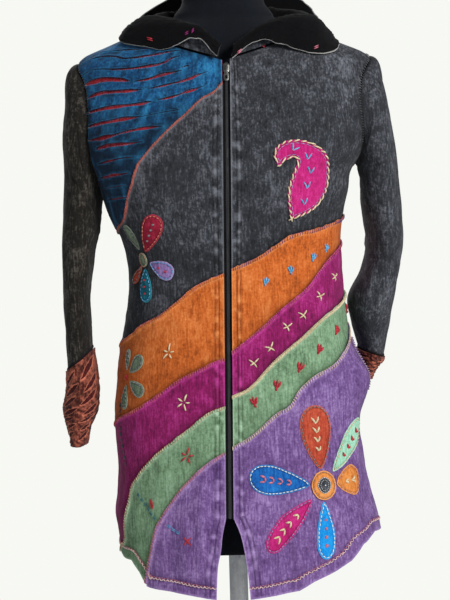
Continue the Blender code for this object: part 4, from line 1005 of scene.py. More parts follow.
def stonewash_group():
    """Overdyed cotton, blotched by stones and pale where it rubbed, mixed towards its deep colour by the
    deeper dye and painted shade that each piece gives.
    """
    tree, given, out = group("stonewashed dye", {
        "Deep": BLACK, "Dye": BLACK, "Pale": BLACK, "Blotch": (NUMBER, 55.0), "Contrast": (NUMBER, 1.0),
        "Worn": (NUMBER, 0.0), "Halo": (NUMBER, 0.0),
    }, {"Colour": COLOUR, "Height": NUMBER})
    blotch = object_noise(tree, given["Blotch"], 5.0, 0.62, distortion=0.6)
    mottle = object_noise(tree, 300.0, 4.0, 0.68)
    streak = object_noise(tree, 420.0, 3.0, 0.6, (1.0, 1.0, 0.11))
    large = object_noise(tree, 14.0, 3.0, 0.5)
    total = 0.0
    for part, weight in ((blotch, 1.3), (mottle, 1.5), (streak, 1.6), (large, 0.9)):
        total = sums(tree, "MULTIPLY_ADD", sums(tree, "SUBTRACT", part, 0.5), weight, total)
    total = sums(tree, "MULTIPLY", total, given["Contrast"])
    darker = sums(tree, "MULTIPLY", total, -1.25, clamp=True)
    paler = sums(tree, "MULTIPLY", total, 1.1, clamp=True)
    colour = mixed(tree, paler, mixed(tree, darker, given["Dye"], given["Deep"]), given["Pale"])
    # Mixes towards the deep colour by the deeper dye and painted shade that each piece gives
    colour = mixed(tree, sums(tree, "MULTIPLY", given["Halo"], 0.85, clamp=True), colour, given["Deep"])
    rubbed = sums(tree, "MULTIPLY", given["Worn"], sums(tree, "MULTIPLY_ADD", mottle, 1.6, 0.1), clamp=True)
    colour = mixed(tree, rubbed, colour, given["Pale"])
    tree.links.new(colour, out.inputs["Colour"])
    tree.links.new(sums(tree, "MULTIPLY_ADD", mottle, 0.6, sums(tree, "MULTIPLY", streak, 0.5)),
                   out.inputs["Height"])
    return tree


def weave_group():
    """Ribbed cloth: wales up the cloth and finer threads across it, from its flat cut in metres."""
    tree, given, out = group("ribbed weave", {"Wales": (NUMBER, 550.0), "Picks": (NUMBER, 900.0)},
                             {"Height": NUMBER})
    at = add_node(tree, "ShaderNodeSeparateXYZ",
                  {"Vector": add_node(tree, "ShaderNodeUVMap", uv_map="flat").outputs[0]}).outputs

    def wave(way, count):
        turns = sums(tree, "MULTIPLY", way, given[count])
        return sums(tree, "SINE", sums(tree, "MULTIPLY", turns, 2 * math.pi))

    wale, pick = wave(at[0], "Wales"), wave(at[1], "Picks")
    tree.links.new(sums(tree, "MULTIPLY_ADD", pick, 0.3, sums(tree, "MULTIPLY", wale, 0.5)),
                   out.inputs["Height"])
    return tree


def nap_group():
    """Brushed fleece: short fibres that lie in tufts."""
    tree, given, out = group("fleece nap", {"Deep": BLACK, "Tips": BLACK, "Tuft": (NUMBER, 260.0)},
                             {"Colour": COLOUR, "Height": NUMBER})
    tuft = object_noise(tree, given["Tuft"], 5.0, 0.75, distortion=1.2)
    fibre = object_noise(tree, 1500.0, 2.0, 0.6, (1.0, 1.0, 0.3))
    height = sums(tree, "MULTIPLY_ADD", tuft, 0.8, sums(tree, "MULTIPLY", fibre, 0.5))
    share = steeper(tree, height, 0.55, 2.2)
    tree.links.new(mixed(tree, share, given["Deep"], given["Tips"]), out.inputs["Colour"])
    tree.links.new(height, out.inputs["Height"])
    return tree


def thread_group():
    """Soft cotton thread whose dye comes and goes."""
    tree, given, out = group("spun thread", {"Dye": BLACK, "Shade": BLACK},
                             {"Colour": COLOUR, "Height": NUMBER})
    slub = object_noise(tree, 420.0, 3.0, 0.6)
    twist = object_noise(tree, 2600.0, 1.0, 0.5)
    share = steeper(tree, slub, 0.38, 3.2)
    tree.links.new(mixed(tree, share, given["Shade"], given["Dye"]), out.inputs["Colour"])
    tree.links.new(twist, out.inputs["Height"])
    return tree


def scuff_group():
    """Handled metal or lacquer: a roughness that comes and goes, with fine scratches."""
    tree, given, out = group("scuffed", {"Smooth": (NUMBER, 0.25), "Rough": (NUMBER, 0.5),
                                         "Grain": (NUMBER, 90.0)},
                             {"Roughness": NUMBER, "Height": NUMBER, "Mask": NUMBER})
    patchy = object_noise(tree, given["Grain"], 5.0, 0.65)
    fine = object_noise(tree, 1400.0, 3.0, 0.7)
    spread = sums(tree, "SUBTRACT", given["Rough"], given["Smooth"])
    share = steeper(tree, patchy, 0.35, 3.0)
    tree.links.new(sums(tree, "MULTIPLY_ADD", spread, share, given["Smooth"]), out.inputs["Roughness"])
    tree.links.new(fine, out.inputs["Height"])
    tree.links.new(share, out.inputs["Mask"])
    return tree


STONEWASH, WEAVE, NAP = stonewash_group(), weave_group(), nap_group()
THREAD, SCUFF = thread_group(), scuff_group()


def placed(tree, node_tree, **values):
    return add_node(tree, "ShaderNodeGroup", values, node_tree=node_tree).outputs


def blank(name, **settings):
    """A new material with its Principled shader's own values set."""
    made = bpy.data.materials.new(name)
    made.use_nodes = True
    shader = made.node_tree.nodes["Principled BSDF"]
    for key, value in settings.items():
        shader.inputs[key.replace("_", " ")].default_value = value
    return made, made.node_tree, shader


def bumped(tree, shader, height, strength, distance):
    made = add_node(tree, "ShaderNodeBump", {"Strength": strength, "Distance": distance, "Height": height})
    tree.links.new(made.outputs[0], shader.inputs["Normal"])


def dyed_cloth(name, deep, dye, pale, blotch=55.0, contrast=1.0, wales=550.0):
    made, tree, shader = blank(name, Roughness=0.92, Sheen_Weight=0.04, Sheen_Roughness=0.5,
                               Specular_IOR_Level=0.2)
    worn = add_node(tree, "ShaderNodeAttribute", attribute_name="worn").outputs["Fac"]
    # The second attribute is deeper dye and painted shade, set on each piece's points
    deep_dye_and_painted_shade = add_node(tree, "ShaderNodeAttribute", attribute_name="deep_dye_and_painted_shade").outputs["Fac"]
    wash = placed(tree, STONEWASH, Deep=srgb(*deep), Dye=srgb(*dye), Pale=srgb(*pale), Blotch=blotch,
                  Contrast=contrast, Worn=worn, Halo=deep_dye_and_painted_shade)
    weave = placed(tree, WEAVE, Wales=wales)
    tree.links.new(wash["Colour"], shader.inputs["Base Color"])
    bumped(tree, shader, sums(tree, "MULTIPLY_ADD", weave["Height"], 0.35, wash["Height"]), 0.55, 0.0007)
    return made


def thread(name, dye, shade):
    made, tree, shader = blank(name, Roughness=0.7, Specular_IOR_Level=0.3)
    spun = placed(tree, THREAD, Dye=srgb(*dye), Shade=srgb(*shade))
    tree.links.new(spun["Colour"], shader.inputs["Base Color"])
    bumped(tree, shader, spun["Height"], 0.3, 0.0002)
    return made


def fleece(name, deep, tips):
    made, tree, shader = blank(name, Roughness=1.0, Sheen_Weight=0.03, Sheen_Roughness=0.6,
                               Specular_IOR_Level=0.1)
    nap = placed(tree, NAP, Deep=srgb(*deep), Tips=srgb(*tips))
    tree.links.new(nap["Colour"], shader.inputs["Base Color"])
    bumped(tree, shader, nap["Height"], 0.8, 0.0015)
    return made


def hard(name, colour, pale, metallic, smooth, rough, bump=0.08):
    made, tree, shader = blank(name, Metallic=metallic)
    scuffed = placed(tree, SCUFF, Smooth=smooth, Rough=rough)
    tree.links.new(mixed(tree, scuffed["Mask"], srgb(*colour), srgb(*pale)), shader.inputs["Base Color"])
    tree.links.new(scuffed["Roughness"], shader.inputs["Roughness"])
    bumped(tree, shader, scuffed["Height"], bump, 0.0002)
    return made


# name: deep, dye and pale as they look
DYES = {
    "charcoal": ((9, 9, 10), (48, 50, 55), (118, 120, 128)),
    # shaded: the charcoal darkened as painted shade, for the wearer's right sleeve
    "shaded": ((5, 4, 3), (29, 26, 22), (104, 98, 90)),
    "orange": ((104, 42, 12), (196, 97, 36), (234, 148, 84)),
    "magenta": ((66, 8, 40), (140, 24, 92), (196, 66, 152)),
    "green": ((52, 72, 48), (116, 148, 114), (168, 200, 168)),
    "purple": ((54, 30, 74), (109, 79, 133), (170, 142, 194)),
    "blue": ((3, 10, 20), (19, 76, 122), (52, 140, 190)),
    "red": ((60, 10, 16), (144, 32, 42), (190, 62, 66)),
    # The cuffs' red underlayer, darkened as painted shade for the cuffs' gaps
    "dark_red_with_painted_shade": ((14, 4, 5), (62, 16, 18), (104, 34, 32)),
    "rust": ((14, 5, 5), (80, 32, 25), (206, 118, 92)),
    "rim": ((84, 82, 80), (128, 126, 124), (168, 166, 162)),
    "seam": ((44, 16, 16), (116, 50, 46), (178, 100, 86)),
    "patch_magenta": ((110, 16, 60), (176, 26, 104), (206, 60, 140)),
    "patch_rust": ((112, 34, 24), (172, 66, 44), (206, 108, 78)),
    "patch_red": ((86, 10, 26), (148, 24, 52), (186, 60, 84)),
    "patch_orange": ((160, 84, 30), (214, 132, 62), (236, 170, 104)),
    "patch_blue": ((8, 40, 90), (20, 92, 168), (46, 140, 208)),
    "patch_bright": ((8, 96, 168), (16, 140, 214), (60, 176, 232)),
    "patch_mint": ((104, 150, 126), (152, 204, 176), (190, 226, 204)),
    "patch_teal": ((6, 48, 62), (16, 100, 118), (60, 156, 168)),
    "patch_lilac": ((92, 62, 112), (150, 122, 178), (190, 170, 210)),
    "patch_grey": ((62, 74, 60), (104, 120, 98), (160, 172, 150)),
}
CLOTH = {name: dyed_cloth(name + " cloth", *shades, blotch=90.0 if name.startswith("patch") else 55.0)
         for name, shades in DYES.items()}
# name: dye and shade as they look
THREAD_DYES = {
    "cream": ((236, 224, 190), (186, 166, 124)), "peach": ((226, 168, 136), (170, 104, 84)),
    "pink": ((224, 142, 152), (172, 84, 104)), "red": ((206, 58, 66), (134, 30, 42)),
    "white": ((244, 246, 240), (196, 206, 206)), "sky": ((120, 190, 226), (66, 128, 176)),
    "slate": ((92, 104, 106), (46, 54, 58)),
    "teal": ((84, 142, 150), (36, 78, 90)), "lilac": ((186, 160, 206), (122, 96, 150)),
    "grey": ((150, 150, 148), (84, 84, 86)), "black": ((34, 34, 38), (12, 12, 14)),
    "orange": ((214, 118, 52), (156, 74, 28)), "magenta": ((150, 36, 112), (92, 16, 66)),
    "purple": ((112, 80, 140), (66, 44, 90)),
    "salmon": ((226, 140, 116), (160, 74, 60)), "blush": ((240, 216, 210), (190, 150, 148)),
}
SPUN = {name: thread(name + " thread", *shades) for name, shades in THREAD_DYES.items()}
FLEECE = fleece("black fleece", (2, 2, 3), (17, 17, 20))
TAPE = dyed_cloth("zip tape", (8, 8, 9), (20, 20, 22), (38, 38, 42), contrast=0.5, wales=900.0)
COIL = hard("zip coil", (22, 22, 25), (44, 44, 48), 0.0, 0.35, 0.55)
STEEL = hard("slider steel", (70, 70, 70), (136, 134, 128), 1.0, 0.25, 0.45)
COVER = dyed_cloth("form cover", (4, 6, 10), (10, 14, 21), (22, 28, 38), contrast=0.6, wales=1400.0)
CHROME = hard("pole chrome", (188, 188, 188), (200, 200, 200), 1.0, 0.16, 0.20, 0.02)
LACQUER = hard("base lacquer", (16, 16, 18), (30, 30, 33), 0.0, 0.32, 0.5)


# Meshes and threads


def mesh_of(name, points, faces, finish, uv=None, attributes=None):
    """A piece from points and lists of triangles or quads, shaded smooth, its cut edges kept crisp."""
    mesh = bpy.data.meshes.new(name)
    faces = [np.asarray(part, np.int32) for part in faces if len(part)]
    corners = np.concatenate([part.ravel() for part in faces])
    sizes = np.concatenate([np.full(len(part), part.shape[1]) for part in faces])
    mesh.vertices.add(len(points))
    mesh.vertices.foreach_set("co", np.asarray(points, np.float32).ravel())
    mesh.loops.add(len(corners))
    mesh.loops.foreach_set("vertex_index", corners)
    mesh.polygons.add(len(sizes))
    mesh.polygons.foreach_set("loop_start", np.concatenate([[0], np.cumsum(sizes)[:-1]]).astype(np.int32))
    mesh.update(calc_edges=True)
    mesh.validate()
    if uv is not None:
        layer = mesh.uv_layers.new(name="flat")
        order = np.empty(len(mesh.loops), np.int32)
        mesh.loops.foreach_get("vertex_index", order)
        layer.data.foreach_set("uv", np.asarray(uv, np.float32)[order].ravel())
    for key, values in (attributes or {}).items():
        mesh.attributes.new(key, "FLOAT", "POINT").data.foreach_set("value", np.asarray(values, np.float32))
    mesh.shade_smooth()
    mesh.set_sharp_from_angle(angle=math.radians(60))
    mesh.materials.append(finish)
    piece = bpy.data.objects.new(name, mesh)
    bpy.context.collection.objects.link(piece)
    return piece


def surface_area(points, faces):
    a, b, c = points[faces[:, 0]], points[faces[:, 1]], points[faces[:, 2]]
    return float(np.linalg.norm(np.cross(b - a, c - a), axis=1).sum() / 2)


def quad_area(points, quads):
    return surface_area(points, np.concatenate([quads[:, :3], quads[:, [0, 2, 3]]]))


def cells(index):
    """The four corners of each cell of a grid, in order round it."""
    return [part.ravel() for part in (index[:-1, :-1], index[:-1, 1:], index[1:, 1:], index[1:, :-1])]


def wrapped(index):
    """A grid whose first column comes again after its last."""
    return np.concatenate([index, index[:, :1]], 1)


def rim_walls(index):
    """The faces that join a sheet's two sides round its rim."""
    count = index.size
    rim = np.concatenate([index[:, 0], index[-1, 1:], index[-2::-1, -1], index[0, -2:0:-1]])
    ahead = np.roll(rim, -1)
    return np.stack([rim, ahead, ahead + count, rim + count], 1)


def cut_size(points, area):
    """The smallest rectangle that a flat piece is cut from, wide then long, for its true area."""
    sides = []
    for turn in np.radians(np.arange(0, 90, 1.5)):
        x = points @ np.array([math.cos(turn), math.sin(turn)])
        y = points @ np.array([-math.sin(turn), math.cos(turn)])
        sides.append((float(np.ptp(x)), float(np.ptp(y))))
    wide, long = min(sides, key=lambda pair: pair[0] * pair[1])
    grow = math.sqrt(max(1.0, area / (wide * long)))
    return wide * grow, long * grow


LEAST_CUT = 0.0101  # the narrowest cut, a seam's own allowance


def sewn_cloth(piece, points, area, slot, held="draped", rests_on=("form_torso",), replaces=(), size=None):
    """Keeps the size a finished piece of cloth was cut from, hangs it on the coat and hides the parts that it
    stands for.
    """
    wide, long = size or [max(across, LEAST_CUT) for across in cut_size(points, area)]
    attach(piece, COAT)
    if replaces:
        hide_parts(*replaces)
    list(rests_on)
    CUT[piece.name] = (wide, long, area)


CUT = {}


def two_sided(name, outer, inner, faces, finish, uv, attributes):
    """A sheet's two sides as one piece. What is said of a point is said on both sides."""
    attributes = {key: np.concatenate([values, values]) for key, values in attributes.items()}
    return mesh_of(name, np.concatenate([outer, inner]), faces, finish, np.concatenate([uv, uv]), attributes)


def shell(name, points, faces, place, high, low, finish, attributes=None):
    """A closed thin shell over a filled outline, from a low level to a high one along the normals."""
    count = len(points)
    outer, inner = (place(points, np.asarray(level).reshape(-1, 1)) for level in (high, low))
    directed = np.concatenate([faces[:, [0, 1]], faces[:, [1, 2]], faces[:, [2, 0]]])
    forward = directed[:, 0].astype(np.int64) * count + directed[:, 1]
    back = directed[:, 1].astype(np.int64) * count + directed[:, 0]
    rim = directed[~np.isin(forward, back)]
    sides = np.stack([rim[:, 1], rim[:, 0], rim[:, 0] + count, rim[:, 1] + count], 1)
    piece = two_sided(name, outer, inner, [faces, faces[:, ::-1] + count, sides], finish, points,
                      attributes or {})
    return piece, surface_area(place(points, np.zeros((count, 1))), faces)


def stitch_tree():
    """Geometry Nodes that lay one arched thread at each point, along and out as its attributes say."""
    tree = bpy.data.node_groups.new("sewn stitches", "GeometryNodeTree")
    sockets = {}
    for key, kind in (("Points", "Geometry"), ("Arch", "Float"), ("Sides", "Int"), ("Bends", "Int"),
                      ("Thread", "Material")):
        socket = tree.interface.new_socket(key, in_out="INPUT", socket_type="NodeSocket" + kind)
        sockets[key] = socket.identifier
    tree.interface.new_socket("Stitches", in_out="OUTPUT", socket_type="NodeSocketGeometry")
    given, out = tree.nodes.new("NodeGroupInput").outputs, tree.nodes.new("NodeGroupOutput")

    def node(kind, inputs=None, **settings):
        return add_node(tree, kind, inputs, **settings).outputs[0]

    def named(key, kind="FLOAT_VECTOR"):
        made = add_node(tree, "GeometryNodeInputNamedAttribute", {"Name": key}, data_type=kind)
        return made.outputs["Attribute"]

    run, out_way, thick = named("along"), named("out"), named("thick", "FLOAT")
    straight = node("GeometryNodeCurvePrimitiveLine", {"Start": (-0.5, 0, 0), "End": (0.5, 0, 0)})
    bent = node("GeometryNodeResampleCurve", {"Curve": straight, "Count": given["Bends"]})
    around = node("GeometryNodeCurvePrimitiveCircle", {"Resolution": given["Sides"], "Radius": 1.0})
    rod = node("GeometryNodeCurveToMesh", {"Curve": bent, "Profile Curve": around, "Fill Caps": True})
    at = add_node(tree, "ShaderNodeSeparateXYZ", {"Vector": node("GeometryNodeInputPosition")}).outputs
    bow = sums(tree, "MULTIPLY_ADD", sums(tree, "MULTIPLY", at[0], at[0]), -4.0, 1.0)
    taper = sums(tree, "MULTIPLY_ADD", sums(tree, "SQRT", sums(tree, "MAXIMUM", bow, 0.0)), 0.55, 0.45)
    raised = sums(tree, "MULTIPLY_ADD", given["Arch"], bow, -0.5)
    curved = node("ShaderNodeCombineXYZ", {"X": at[0], "Y": sums(tree, "MULTIPLY", at[1], taper),
                                           "Z": sums(tree, "MULTIPLY_ADD", at[2], taper, raised)})
    one = node("GeometryNodeSetPosition", {"Geometry": rod, "Position": curved})
    long = add_node(tree, "ShaderNodeVectorMath", {0: run}, operation="LENGTH").outputs["Value"]
    scale = node("ShaderNodeCombineXYZ", {"X": long, "Y": thick, "Z": thick})
    aimed = node("FunctionNodeAlignRotationToVector", {"Vector": run}, axis="X")
    upward = node("FunctionNodeAlignRotationToVector", {"Rotation": aimed, "Vector": out_way}, axis="Z",
                  pivot_axis="X")
    laid = node("GeometryNodeInstanceOnPoints", {"Points": given["Points"], "Instance": one,
                                                 "Rotation": upward, "Scale": scale})
    real = node("GeometryNodeRealizeInstances", {"Geometry": laid})
    smooth = node("GeometryNodeSetShadeSmooth", {"Geometry": real})
    done = node("GeometryNodeSetMaterial", {"Geometry": smooth, "Material": given["Thread"]})
    tree.links.new(done, out.inputs[0])
    return tree, sockets


STITCHES, STITCH_INPUTS = stitch_tree()
SEWN = {}


def sew(batch, start, end, out, thick):
    """Keeps threads that run from one point to another, with the way that is out from the cloth there."""
    start, end, out = (np.atleast_2d(np.asarray(part, float)) for part in (start, end, out))
    thick = np.broadcast_to(np.asarray(thick, float), len(start))
    SEWN.setdefault(batch, []).append((start, end, out, thick))


def surface_normal(place, points):
    return unit(place(points, 0.001) - place(points, 0.0))


def sew_on(batch, place, start, end, level, thick):
    """Threads between flat points of a surface."""
    start, end = np.atleast_2d(start), np.atleast_2d(end)
    level = np.broadcast_to(np.asarray(level, float), len(start))
    middle = (start + end) / 2
    sew(batch, place(start, level), place(end, level), surface_normal(place, middle), thick)


def sewn_piece(name, batch, arch, sides, bends, slot):
    """Turns a batch of threads into one plain mesh. A batch is named by its thread, and by what it holds."""
    start, end, out, thick = (np.concatenate(parts) for parts in zip(*SEWN.pop(batch)))
    mesh = bpy.data.meshes.new(name)
    mesh.from_pydata(((start + end) / 2).tolist(), [], [])
    for key, values in (("along", end - start), ("out", out)):
        data = mesh.attributes.new(key, "FLOAT_VECTOR", "POINT").data
        data.foreach_set("vector", values.astype(np.float32).ravel())
    mesh.attributes.new("thick", "FLOAT", "POINT").data.foreach_set("value", thick.astype(np.float32))
    piece = bpy.data.objects.new(name, mesh)
    bpy.context.collection.objects.link(piece)
    modifier = piece.modifiers.new("stitches", "NODES")
    modifier.node_group = STITCHES
    values = {"Arch": arch, "Sides": sides, "Bends": bends, "Thread": SPUN.get(batch[0], COIL)}
    for key, value in values.items():
        modifier[STITCH_INPUTS[key]] = value
    bpy.context.view_layer.update()
    result = bpy.data.meshes.new_from_object(piece.evaluated_get(bpy.context.evaluated_depsgraph_get()))
    piece.modifiers.clear()
    piece.data = result
    result.name = name
    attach(piece, COAT)


# Pieces of the coat


def seam_line(curve, start, end, step=0.75):
    angles = np.linspace(start, end, max(2, round(abs(end - start) / step) + 1))
    return flat(np.stack([angles, curve(angles)], 1))


def left_normal(line):
    way = unit(np.gradient(line, axis=0))
    return np.stack([-way[:, 1], way[:, 0]], 1)


def rows_beside(line, offsets):
    """Rows of points beside a line, on its left, for a finer mesh there."""
    normal = left_normal(line)
    return np.concatenate([line + normal * offset for offset in offsets])


SEAM_ROWS = (0.0014, 0.0030, 0.0050, 0.0078)
HEM_ROWS = (0.0016, 0.0040, 0.0070, 0.0100, 0.0130, 0.0150, 0.0175)
ZIP_ROWS = (0.0014, 0.0040, 0.0070, 0.0088, 0.0100, 0.0112, 0.0135, 0.0148, 0.0160, 0.0172, 0.0200)


def filled(outline, holes, cell, beside):
    """A filled outline with finer rows beside some of its edges, each given as (line, offsets)."""
    extra = [rows_beside(line, offsets) for line, offsets in beside]
    cleared = [(line, offsets[-1] + cell * 0.6) for line, offsets in beside]
    return triangulated_with(outline, holes, cell, extra, cleared)


def edge_form(points, top=None, foot=None, zipped=None, hemmed=None, rest=None):
    """How a panel's edges lift and sink, where they are rubbed pale, and where colour is darkened: painted
    shade down the wearer's right side, under the lapped seam edge below, in stitched grooves and round the
    armhole, and deeper dye above a seam.
    """
    out, worn, angle = body_out(points), np.zeros(len(points)), points[:, 0] / FLAT
    # Painted shade down the wearer's right side, where the light falls away
    deep_dye_and_painted_shade = 0.45 * np.clip((-50 - angle) / 25, 0, 1)
    if top is not None:
        d, s = measured(points, top)
        out += 0.0010 * bell(d, 0.0034) * (1 + 0.5 * waver(s, 0.011, 21))
        out += 0.0008 * noise(s / 0.0068, d / 0.02, 22) * np.exp(-d / 0.012)
        worn += 0.8 * bell(d, 0.0026)
    if foot is not None:
        d, s = measured(points, foot)
        out += 0.0008 * noise(s / 0.0068, d / 0.02, 23) * np.exp(-d / 0.012) - 0.0010 * bell(d, 0.005)
        uneven = 1 + 0.6 * noise(s / 0.03, d / 0.02, 24)
        # Painted shade under the raised edge of the band below, which laps over this panel, and deeper uneven
        # dye further above it
        deep_dye_and_painted_shade += 0.95 * bell(d, 0.0052) + 0.45 * np.exp(-d / 0.022) * uneven
    if hemmed is not None:
        d, s = measured(points, hemmed)
        out += 0.0012 * waver(s, 0.016, 25) * np.exp(-d / 0.012) - 0.0007 * bell(d, 0.0016, 0.015)
        out += 0.0006 * noise(s / 0.006, d / 0.03, 26) * bell(d, 0.008, 0.012)
        # Painted shade in the groove along the hem's stitching
        deep_dye_and_painted_shade += 0.5 * bell(d, 0.003, 0.0175)
        worn += 0.6 * bell(d, 0.002)
    if zipped is not None:
        d, s = measured(points, zipped)
        out += 0.0005 * (1 - np.clip((d - 0.016) / 0.003, 0, 1)) + 0.0003 * bell(d, 0.002)
        out -= 0.0008 * bell(d, 0.0011, 0.0100) + 0.0006 * bell(d, 0.0011, 0.0160)
        out += 0.0006 * noise(s / 0.0066, d / 0.03, 27) * bell(d, 0.008, 0.012)
        worn += bell(d, 0.0016)
        blotch = np.clip(noise(s / 0.0060, d / 0.02, 28) * 1.6, 0, 1)
        worn += 1.1 * blotch * bell(d, 0.0036, 0.0135) + 0.7 * blotch * bell(d, 0.003, 0.006)
        # Painted shade in the two topstitched grooves beside the zip
        deep_dye_and_painted_shade += 1.0 * bell(d, 0.0013, 0.0100) + 0.8 * bell(d, 0.0013, 0.0170)
    if rest is not None:
        d, s = measured(points, rest)
        out += 0.0007 * noise(s / 0.0075, d / 0.02, 29) * np.exp(-d / 0.010) - 0.0006 * bell(d, 0.004)
        # Painted shade round the armhole seam
        deep_dye_and_painted_shade += 0.7 * bell(d, 0.004)
    return out, np.clip(worn, 0, 1), np.clip(deep_dye_and_painted_shade, 0, 1)


def panel(node, outline, dye, slot, beside=(), cell=CELL, **edges):
    loop = inset(outline, SEAM_GAP / 2)
    points, faces = filled(loop, [], cell, beside)
    out, worn, deep_dye_and_painted_shade = edge_form(points, **edges)
    piece, area = shell(node + "_cloth", points, faces, body, out + SHELL / 2, out * 0.9 - SHELL / 2,
                        CLOTH[dye], {"worn": worn, "deep_dye_and_painted_shade": deep_dye_and_painted_shade})
    sewn_cloth(piece, points, area, slot, replaces=(node,))


def zip_line(side, low, high):
    """A front's edge beside the zip, run so that its cloth lies on the left."""
    heights = np.linspace(low, high, max(3, round((high - low) / 0.004)))
    line = flat(np.stack([front_edge(side, heights), heights], 1))
    return line[::-1] if side == "left" else line


def front_panels(side, seams, names, start, end):
    """The bands of a front, from the top seam down. Each has its own cloth, and a raw raised edge."""
    curves = list(seams.values())
    for number, (dye, top) in enumerate(zip(names, curves)):
        last = number == len(names) - 1
        foot = hem if last else curves[number + 1]
        outline = front_band(side, top, foot)
        near = meets_edge(side, top)
        low = float(np.maximum(foot(near), hem(near))) - 0.004
        top_line = seam_line(top, end, start)
        zipped = zip_line(side, low, float(top(near)))
        beside = [(top_line, SEAM_ROWS), (zipped, ZIP_ROWS)]
        edges = {"top": top_line, "zipped": zipped}
        hem_line = seam_line(hem, start, end)
        if last:
            edges["hemmed"] = hem_line
            beside.append((hem_line, HEM_ROWS))
        else:
            foot_line = seam_line(foot, start, end)
            edges["foot"] = foot_line
            beside.append((foot_line, SEAM_ROWS))
            if dye in ("magenta", "green") and side == "right":
                edges["hemmed"] = hem_line
        panel(f"front_{side}_{dye}", outline, dye, dye + "_cloth", beside=beside, **edges)


def fronts():
    right = {name: spline(rows, 1) for name, rows in RIGHT_SEAMS.items()}
    left = {name: spline(rows, 1) for name, rows in LEFT_SEAMS.items()}
    bands = ("orange", "magenta", "green", "purple")
    front_panels("right", right, bands, -90, 4)
    front_panels("left", left, bands, -8, 90)
    yoke_curve = spline(YOKE_SEAM, 1)
    foot = seam_line(right["orange"], -90, 4)
    zipped = zip_line("right", 1.03, 1.31)
    top_line = seam_line(yoke_curve, 4, -90)
    panel("front_right_upper", front_band("right", yoke_curve, right["orange"]), "charcoal", "charcoal_cloth",
          beside=[(foot, SEAM_ROWS), (zipped, ZIP_ROWS), (top_line, SEAM_ROWS)],
          foot=foot, zipped=zipped, top=top_line)
    foot = seam_line(left["orange"], -8, 90)
    zipped = zip_line("left", 1.035, 1.335)
    hole = flat(armhole("left", np.linspace(180, 360, 60)))
    panel("front_left_upper", front_top("left", left["orange"]), "charcoal", "charcoal_cloth",
          beside=[(foot, SEAM_ROWS), (zipped, ZIP_ROWS)], foot=foot, zipped=zipped, rest=hole)


def back():
    seams = {name: back_seam(name) for name in BACK_SEAMS}
    names = list(seams)
    for number, name in enumerate(names):
        last = number == len(names) - 1
        foot = hem if last else seams[names[number + 1]]
        top_line, foot_line = seam_line(seams[name], 270, 90), seam_line(foot, 90, 270)
        edges = {"top": top_line}
        hem_line = seam_line(hem, 90, 270)
        if last:
            edges["hemmed"] = hem_line
        else:
            edges["foot"] = foot_line
            if name == "green":
                edges["hemmed"] = hem_line
        panel("back_" + name, back_band(seams[name], foot), name, name + "_cloth",
              beside=[(top_line, SEAM_ROWS), (foot_line, SEAM_ROWS)], cell=BACK_CELL, **edges)
    foot_line = seam_line(seams["orange"], 90, 270)
    holes = [flat(armhole("left", np.linspace(0, 180, 60))),
             flat(armhole("right", np.linspace(180, 360, 60)) + np.array([360.0, 0]))]
    panel("back_upper", back_top(seams["orange"]), "charcoal", "charcoal_cloth",
          beside=[(foot_line, SEAM_ROWS)], cell=BACK_CELL, foot=foot_line, rest=np.concatenate(holes))


# The slashed yoke


# Tears in the yoke's top layer as the photograph shows them, each a row of pixels from the armhole side to
# the zip side. The value after them says how wide it gapes: half of it is that times GAPE.
GAPE = 0.0009
YOKE_TEARS = (
    (((96, 56.5), (112, 53.2), (137, 51.2), (152, 50.2), (167, 48.6)), 1.5),
    (((80, 67), (98, 59.4), (114, 58.2), (127, 60), (146, 57.4), (167, 53.4), (181, 51.6)), 2.6),
    (((83, 76), (98, 70.2), (121, 70.2), (146, 67.4), (164, 63.8), (172, 59.5), (181, 57)), 2.7),
    (((81.5, 90), (87, 85.5), (94, 82.4), (106, 80.2), (121, 80.6), (131, 81.8)), 5.2),
    (((134.5, 82.4), (141, 81.4), (148, 80.2), (156, 77.6), (166, 74.6), (176, 72.6), (183, 71)), 3.8),
    (((181, 69.6), (185, 67.4), (190, 66.6)), 2.0),
    (((84.5, 101), (93, 97), (103, 93.6), (121, 92.2), (133, 91.4), (146, 90)), 4.0),
    (((148, 90.4), (158, 88), (170, 85), (180, 82.6), (190, 79.4), (198, 75.8), (208, 72.6)), 3.0),
    (((86, 115), (94, 112), (106, 109), (126, 106.2), (143, 104.4), (153, 102)), 4.2),
    (((155, 101.4), (167, 99.2), (178, 96.2), (187, 92.6), (197, 89.6), (207, 86)), 3.6),
    (((85, 130), (97, 125), (105, 123.2), (113.6, 121.6), (127, 119.2), (143, 117.2)), 4.6),
    (((140, 118), (158, 114.4), (170, 112.2), (181, 110.6)), 1.8),
    (((84.5, 142), (94, 140), (103, 138.4), (117, 135), (133.5, 130.6), (149, 128.2), (164, 127)), 4.2),
    (((97, 149.5), (104, 147), (112, 145.2), (127, 144), (144, 142)), 5.0),
    (((99, 164), (107, 161.6), (115, 159.8), (124, 158), (138, 157)), 3.8),
    (((100, 178.5), (106, 177), (113.6, 175), (121, 174), (131, 172.4)), 3.2),
    (((107, 187.6), (116, 186.4), (127, 184.6)), 2.6),
    (((109, 199.6), (118, 198), (129, 196.6)), 2.4),
)


